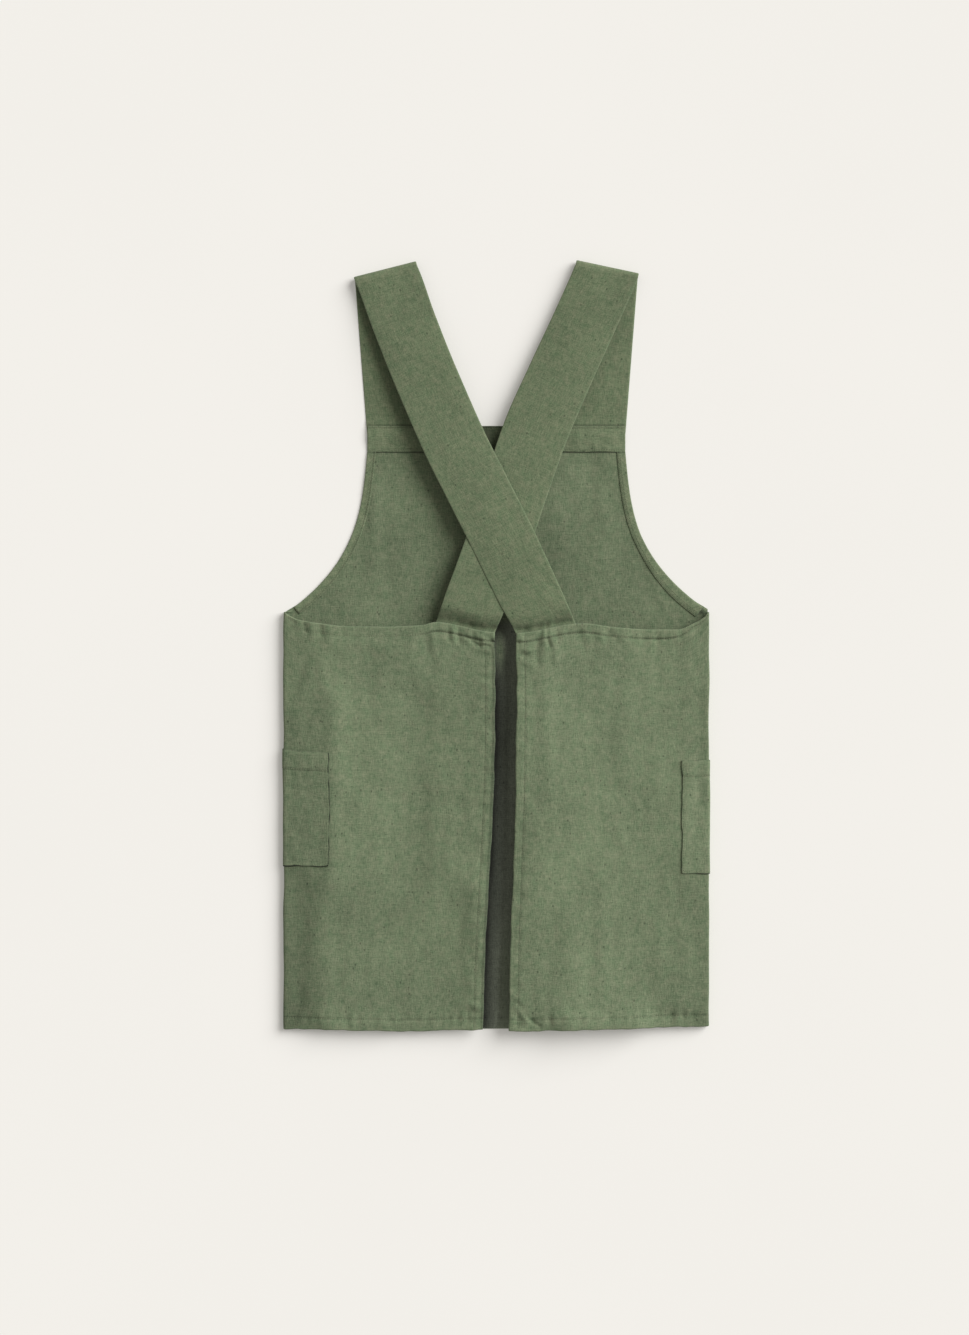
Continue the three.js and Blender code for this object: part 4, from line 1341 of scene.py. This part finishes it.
@dataclass(frozen=True)
class Linen:
    """Plain-woven linen, piece-dyed sage green and garment-washed.

    Slubby threads give short streaks, the wash gives blotches between green and brown, paler edges and
    fine crinkles, and rough fibres give a wide soft sheen and no gloss. Real threads of 0.5 mm are too fine
    to show, so streaks are drawn at the width of the slubs, about 1.2 mm.
    """

    name: str
    green: str
    brown: str
    pale: str
    # grey is the colour that painted shade turns the cloth towards.
    grey: str = "#777D6E"
    slub_wide: float = 1.15
    slub_long: float = 8.0
    thread_wide: float = 1.0
    thread_long: float = 30.0
    grain: float = 1.3
    blotch: float = 10.0
    patch: float = 70.0
    crinkle: float = 10.0
    fleck_cell: tuple[float, float, float] = (1 / 11, 1 / 17, 1)
    streak_strength: float = 0.85
    weft_share: float = 0.8
    thread_share: float = 0.32
    grain_strength: float = 0.6
    blotch_strength: float = 0.32
    patch_strength: float = 0.46
    darkest: float = 0.12
    palest: float = 0.22
    bump_mm: float = 0.3
    crinkle_mm: float = 0.6

    def build(self) -> bpy.types.Material:
        """Makes the material."""
        made, tree = blank_material(self.name)
        cloth = attribute(tree, "cloth_mm", "Vector")

        def noise(wide: float, long: float, detail: float, seed: float) -> bpy.types.NodeSocket:
            """Noise with cells of a real width and length in millimetres."""
            stretch = {0: cloth, 1: (1 / wide, 1 / long, 1), 2: (seed, seed * 1.7, seed * 2.3)}
            place = add(tree, "ShaderNodeVectorMath", stretch, operation="MULTIPLY_ADD").outputs[0]
            look = {"Vector": place, "Scale": 1.0, "Detail": detail, "Roughness": 0.55}
            return add(tree, "ShaderNodeTexNoise", look).outputs[0]

        def total(base: float, *parts: tuple[bpy.types.NodeSocket, float]) -> bpy.types.NodeSocket:
            """Adds noises to a base, each times its gain."""
            for source, gain in parts:
                inputs = {0: source, 1: gain, 2: base}
                base = add(tree, "ShaderNodeMath", inputs, operation="MULTIPLY_ADD").outputs[0]
            return base

        def bump(reach_mm: float, height: bpy.types.NodeSocket, **under: object) -> bpy.types.NodeSocket:
            """Relief of a real height, over another relief if there is one."""
            inputs = {"Strength": 1.0, "Distance": reach_mm * MM, "Height": height, **under}
            return add(tree, "ShaderNodeBump", inputs).outputs[0]

        streak = self.streak_strength
        warp = noise(self.slub_wide, self.slub_long, 2.0, 3.1)
        weft = noise(self.slub_long * 0.8, self.slub_wide, 2.0, 7.7)
        ends = noise(self.thread_wide, self.thread_long, 1.0, 31.7)
        picks = noise(self.thread_long, self.thread_wide, 1.0, 37.1)
        grain = noise(self.grain, self.grain, 1.0, 5.3)
        blotch = noise(self.blotch, self.blotch * 1.3, 3.0, 11.3)
        patch = noise(self.patch, self.patch * 1.4, 2.0, 17.9)
        crinkle = noise(self.crinkle, self.crinkle * 1.5, 2.5, 23.1)
        fine_streak = streak * self.thread_share
        slubs = ((warp, streak), (weft, streak * self.weft_share), (ends, fine_streak), (picks, fine_streak))
        wash = ((blotch, self.blotch_strength), (patch, self.patch_strength))
        parts = (*slubs, (grain, self.grain_strength), *wash)
        level = total(1.0 - 0.5 * sum(gain for _, gain in parts), *parts)
        tint = remap(tree, total(0.0, (warp, 0.3), (weft, 0.3), (blotch, 0.4)), 0.36, 0.64)
        colour = blend(tree, tint, linear(self.green), linear(self.brown))
        # Painted shade: the dull attribute turns the colour towards grey in the shaded gap between the
        # backs.
        colour = blend(tree, attribute(tree, "greyed_in_shade", "Fac"), colour, linear(self.grey))
        cells = add(tree, "ShaderNodeVectorMath", {0: cloth, 1: self.fleck_cell}, operation="MULTIPLY")
        flecks = add(tree, "ShaderNodeTexVoronoi", {"Vector": cells.outputs[0], "Scale": 1.0})
        level = times(tree, level, remap(tree, flecks.outputs["Distance"], 0.06, 0.12, 0.55, 1.0))
        # Below 0 the rub attribute is painted shade, darkening the colour down to darkest; above 0 it makes
        # the colour paler where the cloth is worn.
        rub_and_shade = attribute(tree, "rub_and_shade", "Fac")
        level = times(tree, level, remap(tree, rub_and_shade, -1.6, 0.0, self.darkest, 1.0))
        worn = remap(tree, rub_and_shade, 0.0, 1.0, 0.0, self.palest)
        finished = blend(tree, worn, scaled(tree, colour, level), linear(self.pale))
        fine = bump(self.bump_mm, total(0.0, (grain, 0.35), (weft, 0.4), (warp, 0.6)))
        surface = {
            "Base Color": finished,
            "Roughness": 0.92,
            "IOR": 1.5,
            "Specular IOR Level": 0.2,
            "Sheen Weight": 0.08,
            "Sheen Roughness": 0.6,
            "Normal": bump(self.crinkle_mm, crinkle, Normal=fine),
        }
        shader = add(tree, "ShaderNodeBsdfPrincipled", surface)
        add(tree, "ShaderNodeOutputMaterial", {"Surface": shader.outputs[0]})
        made.diffuse_color = linear(self.green)
        return made


@dataclass(frozen=True)
class TablePaint:
    """Smooth off-white table, matt and faintly uneven; it glows faintly, which is painted fill light keeping
    shadows pale.
    """

    name: str = "table_acrylic_painted_glow"
    colour: str = "#D8D6D2"
    # The table glows faintly as painted fill light, though it is no lamp; its colour is darker to make up
    # for it.
    painted_fill_glow: str = "#757471"

    def build(self) -> bpy.types.Material:
        """Makes the material."""
        made, tree = blank_material(self.name)
        place = add(tree, "ShaderNodeTexCoord").outputs["Object"]
        uneven = add(tree, "ShaderNodeTexNoise", {"Vector": place, "Scale": 2.0, "Detail": 2.0}).outputs[0]
        level = remap(tree, uneven, 0.3, 0.7, 0.985, 1.0)
        surface = {
            "Base Color": scaled(tree, linear(self.colour)[:3], level),
            "Roughness": 0.75,
            "Specular IOR Level": 0.1,
            "Emission Color": linear(self.painted_fill_glow),
            "Emission Strength": 1.0,
        }
        shader = add(tree, "ShaderNodeBsdfPrincipled", surface)
        add(tree, "ShaderNodeOutputMaterial", {"Surface": shader.outputs[0]})
        return made


@dataclass
class Studio:
    """The table, the light, the room and the camera, with angles in degrees and distances in metres."""

    table_reach: float = 6.0
    key_azimuth: float = 32.0
    key_elevation: float = 34.0
    key_power: float = 3.86
    key_angle: float = 46.0
    ambient: float = 0.36
    room_colour: str = "#FFFCF7"
    camera_height: float = 4.255
    camera_reach: float = 50.0
    lens_mm: float = 85.0
    sensor_mm: float = 36.0
    centre: tuple[float, float] = (-0.0159, -0.029)

    def add_key(self) -> None:
        """Adds the one light, a wide sun."""
        light = bpy.data.lights.new("key", "SUN")
        light.energy = self.key_power
        light.angle = math.radians(self.key_angle)
        made = bpy.data.objects.new("key", light)
        made.rotation_euler = (0, math.radians(90 - self.key_elevation), math.radians(self.key_azimuth))
        bpy.context.scene.collection.objects.link(made)

    def build(self) -> None:
        """Makes the table, the light, the room and the camera."""
        scene = bpy.context.scene
        reach = self.table_reach
        points = np.array([[-reach, -reach, 0], [reach, -reach, 0], [reach, reach, 0], [-reach, reach, 0]])
        table = make_mesh("table_top", points, [[0, 1, 2, 3]])
        table.data.materials.append(TablePaint().build())
        self.add_key()
        scene.world = bpy.data.worlds.new("soft_room")
        scene.world.use_nodes = True
        room = scene.world.node_tree.nodes["Background"].inputs
        room["Color"].default_value = linear(self.room_colour)
        room["Strength"].default_value = self.ambient
        camera = bpy.data.cameras.new("camera")
        camera.lens = self.lens_mm
        camera.sensor_width = self.sensor_mm
        camera.clip_end = self.camera_reach
        made = bpy.data.objects.new("camera", camera)
        made.location = (self.centre[0], self.centre[1], self.camera_height)
        scene.collection.objects.link(made)
        scene.camera = made
        scene.view_settings.view_transform = "Standard"


RUN_SHARES = (0, 0.14, 0.3, 0.45, 0.6, 0.75, 0.9, 1)
LEFT_RUN = Table(
    RUN_SHARES,
    {
        "sway": (0, -0.06, -0.102, -0.113, -0.08, -0.04, -0.02, 0),
        "loft": (0.46, 0.56, 0.71, 0.86, 0.96, 1, 1, 0.97),
        "width": (1, 1, 1, 1, 1, 1, 0.98, 0.93),
    },
)
RIGHT_RUN = Table(
    RUN_SHARES,
    {
        "sway": (0, 0.03, 0.08, 0.112, 0.075, 0.02, 0, 0),
        "loft": (0.46, 0.5, 0.58, 0.67, 0.77, 0.88, 0.94, 0.9),
        "width": (1, 1, 1.01, 1.03, 1.02, 1, 0.98, 0.93),
    },
)


@dataclass
class Apron:
    """The whole apron: builds its pieces, dresses them and hides the frame parts that they stand for."""

    plan: Plan
    stitches: dict[str, Stitching] = field(default_factory=dict)

    def dress(self, piece: bpy.types.Object, material: bpy.types.Material, slot: Slot, *nodes: str) -> None:
        """Gives a piece its material and its body, and hides the frame nodes that it stands for."""
        piece.data.materials.append(material)
        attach(piece, BODY)
        if nodes:
            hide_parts(*nodes)
        LOG.info("%s: %d faces", piece.name, len(piece.data.polygons))

    def thread(self, name: str) -> Stitching:
        """The stitches that one group of pieces shares."""
        seed = len(self.stitches) * 100 + 5
        return self.stitches.setdefault(name, Stitching(f"stitches_{name}", seed=seed))

    def build(self) -> None:
        """Builds every piece in order."""
        shape = BodyShape(self.plan)
        body_cloth = Linen("washed_linen_body", "#637658", "#70765E", "#8A9878").build()
        facing_cloth = Linen("washed_linen_facing", "#637557", "#70765D", "#8C9A7A").build()
        strap_cloth = Linen("washed_linen_strap", "#5C6F51", "#6A6F57", "#8C9A7C").build()
        pocket_cloth = Linen("washed_linen_pocket", "#647759", "#71775F", "#8C9A7A").build()
        thread_cloth = Linen(
            "cotton_thread", "#66775A", "#74765E", "#7F8A70", slub_wide=0.8, slub_long=2.0, crinkle_mm=0.02
        ).build()
        body = Body(shape)
        body_piece = body.build()
        self.dress(body_piece, body_cloth, Slot.BODY, "body")
        body.sew(self.thread("body"))
        facing = BibFacing(shape)
        facing_piece = facing.build()
        self.dress(facing_piece, facing_cloth, Slot.FACING, "bib_facing")
        facing.sew(self.thread("facings"))
        bindings = (
            (ArmholeFacing(shape, Side.LEFT), 0.011),
            (ArmholeFacing(shape, Side.RIGHT, flare=0.4), 0.0125),
        )
        for binding, flat_wide in bindings:
            piece = binding.build()
            self.dress(piece, facing_cloth, Slot.FACING, f"armhole_facing_{binding.side.label}")
            binding.sew(self.thread("facings"))
        pockets = (
            Pocket(shape, Side.LEFT, back_show=0.37, bottom=0.391, tilt=0.03, mouth_hem=24.0, bow=2.0),
            # The right pocket is painted paler, as painted light.
            Pocket(
                shape, Side.RIGHT, back_show=0.225, bottom=0.373, tilt=0.0, mouth_hem=20.5, outline_shadow=1.1,
                paler=0.25,
            ),
        )
        for pocket in pockets:
            piece = pocket.build()
            self.dress(piece, pocket_cloth, Slot.POCKET, f"pocket_{pocket.side.label}")
            pocket.sew(self.thread("pockets"))
        straps = (
            Strap(shape, Side.LEFT, slant=14.3, rise=0.985, run=LEFT_RUN),
            Strap(shape, Side.RIGHT, slant=12.0, rise=1.0, run=RIGHT_RUN, sag_reach=66.0),
        )
        for strap in straps:
            piece = strap.build()
            self.dress(piece, strap_cloth, Slot.STRAP, f"strap_{strap.side.label}")
        for stitching in self.stitches.values():
            self.dress(stitching.build(), thread_cloth, Slot.BODY)


def corners(box: tuple) -> list[list[float]]:
    """A box as plain lists of numbers."""
    return [list(map(float, corner)) for corner in box]


def main() -> None:
    """Loads the frame, builds the apron and its studio."""
    logging.basicConfig(level=logging.INFO, format="%(message)s")
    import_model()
    Studio().build()
    Apron(Plan()).build()


if __name__ == "__main__":
    main()
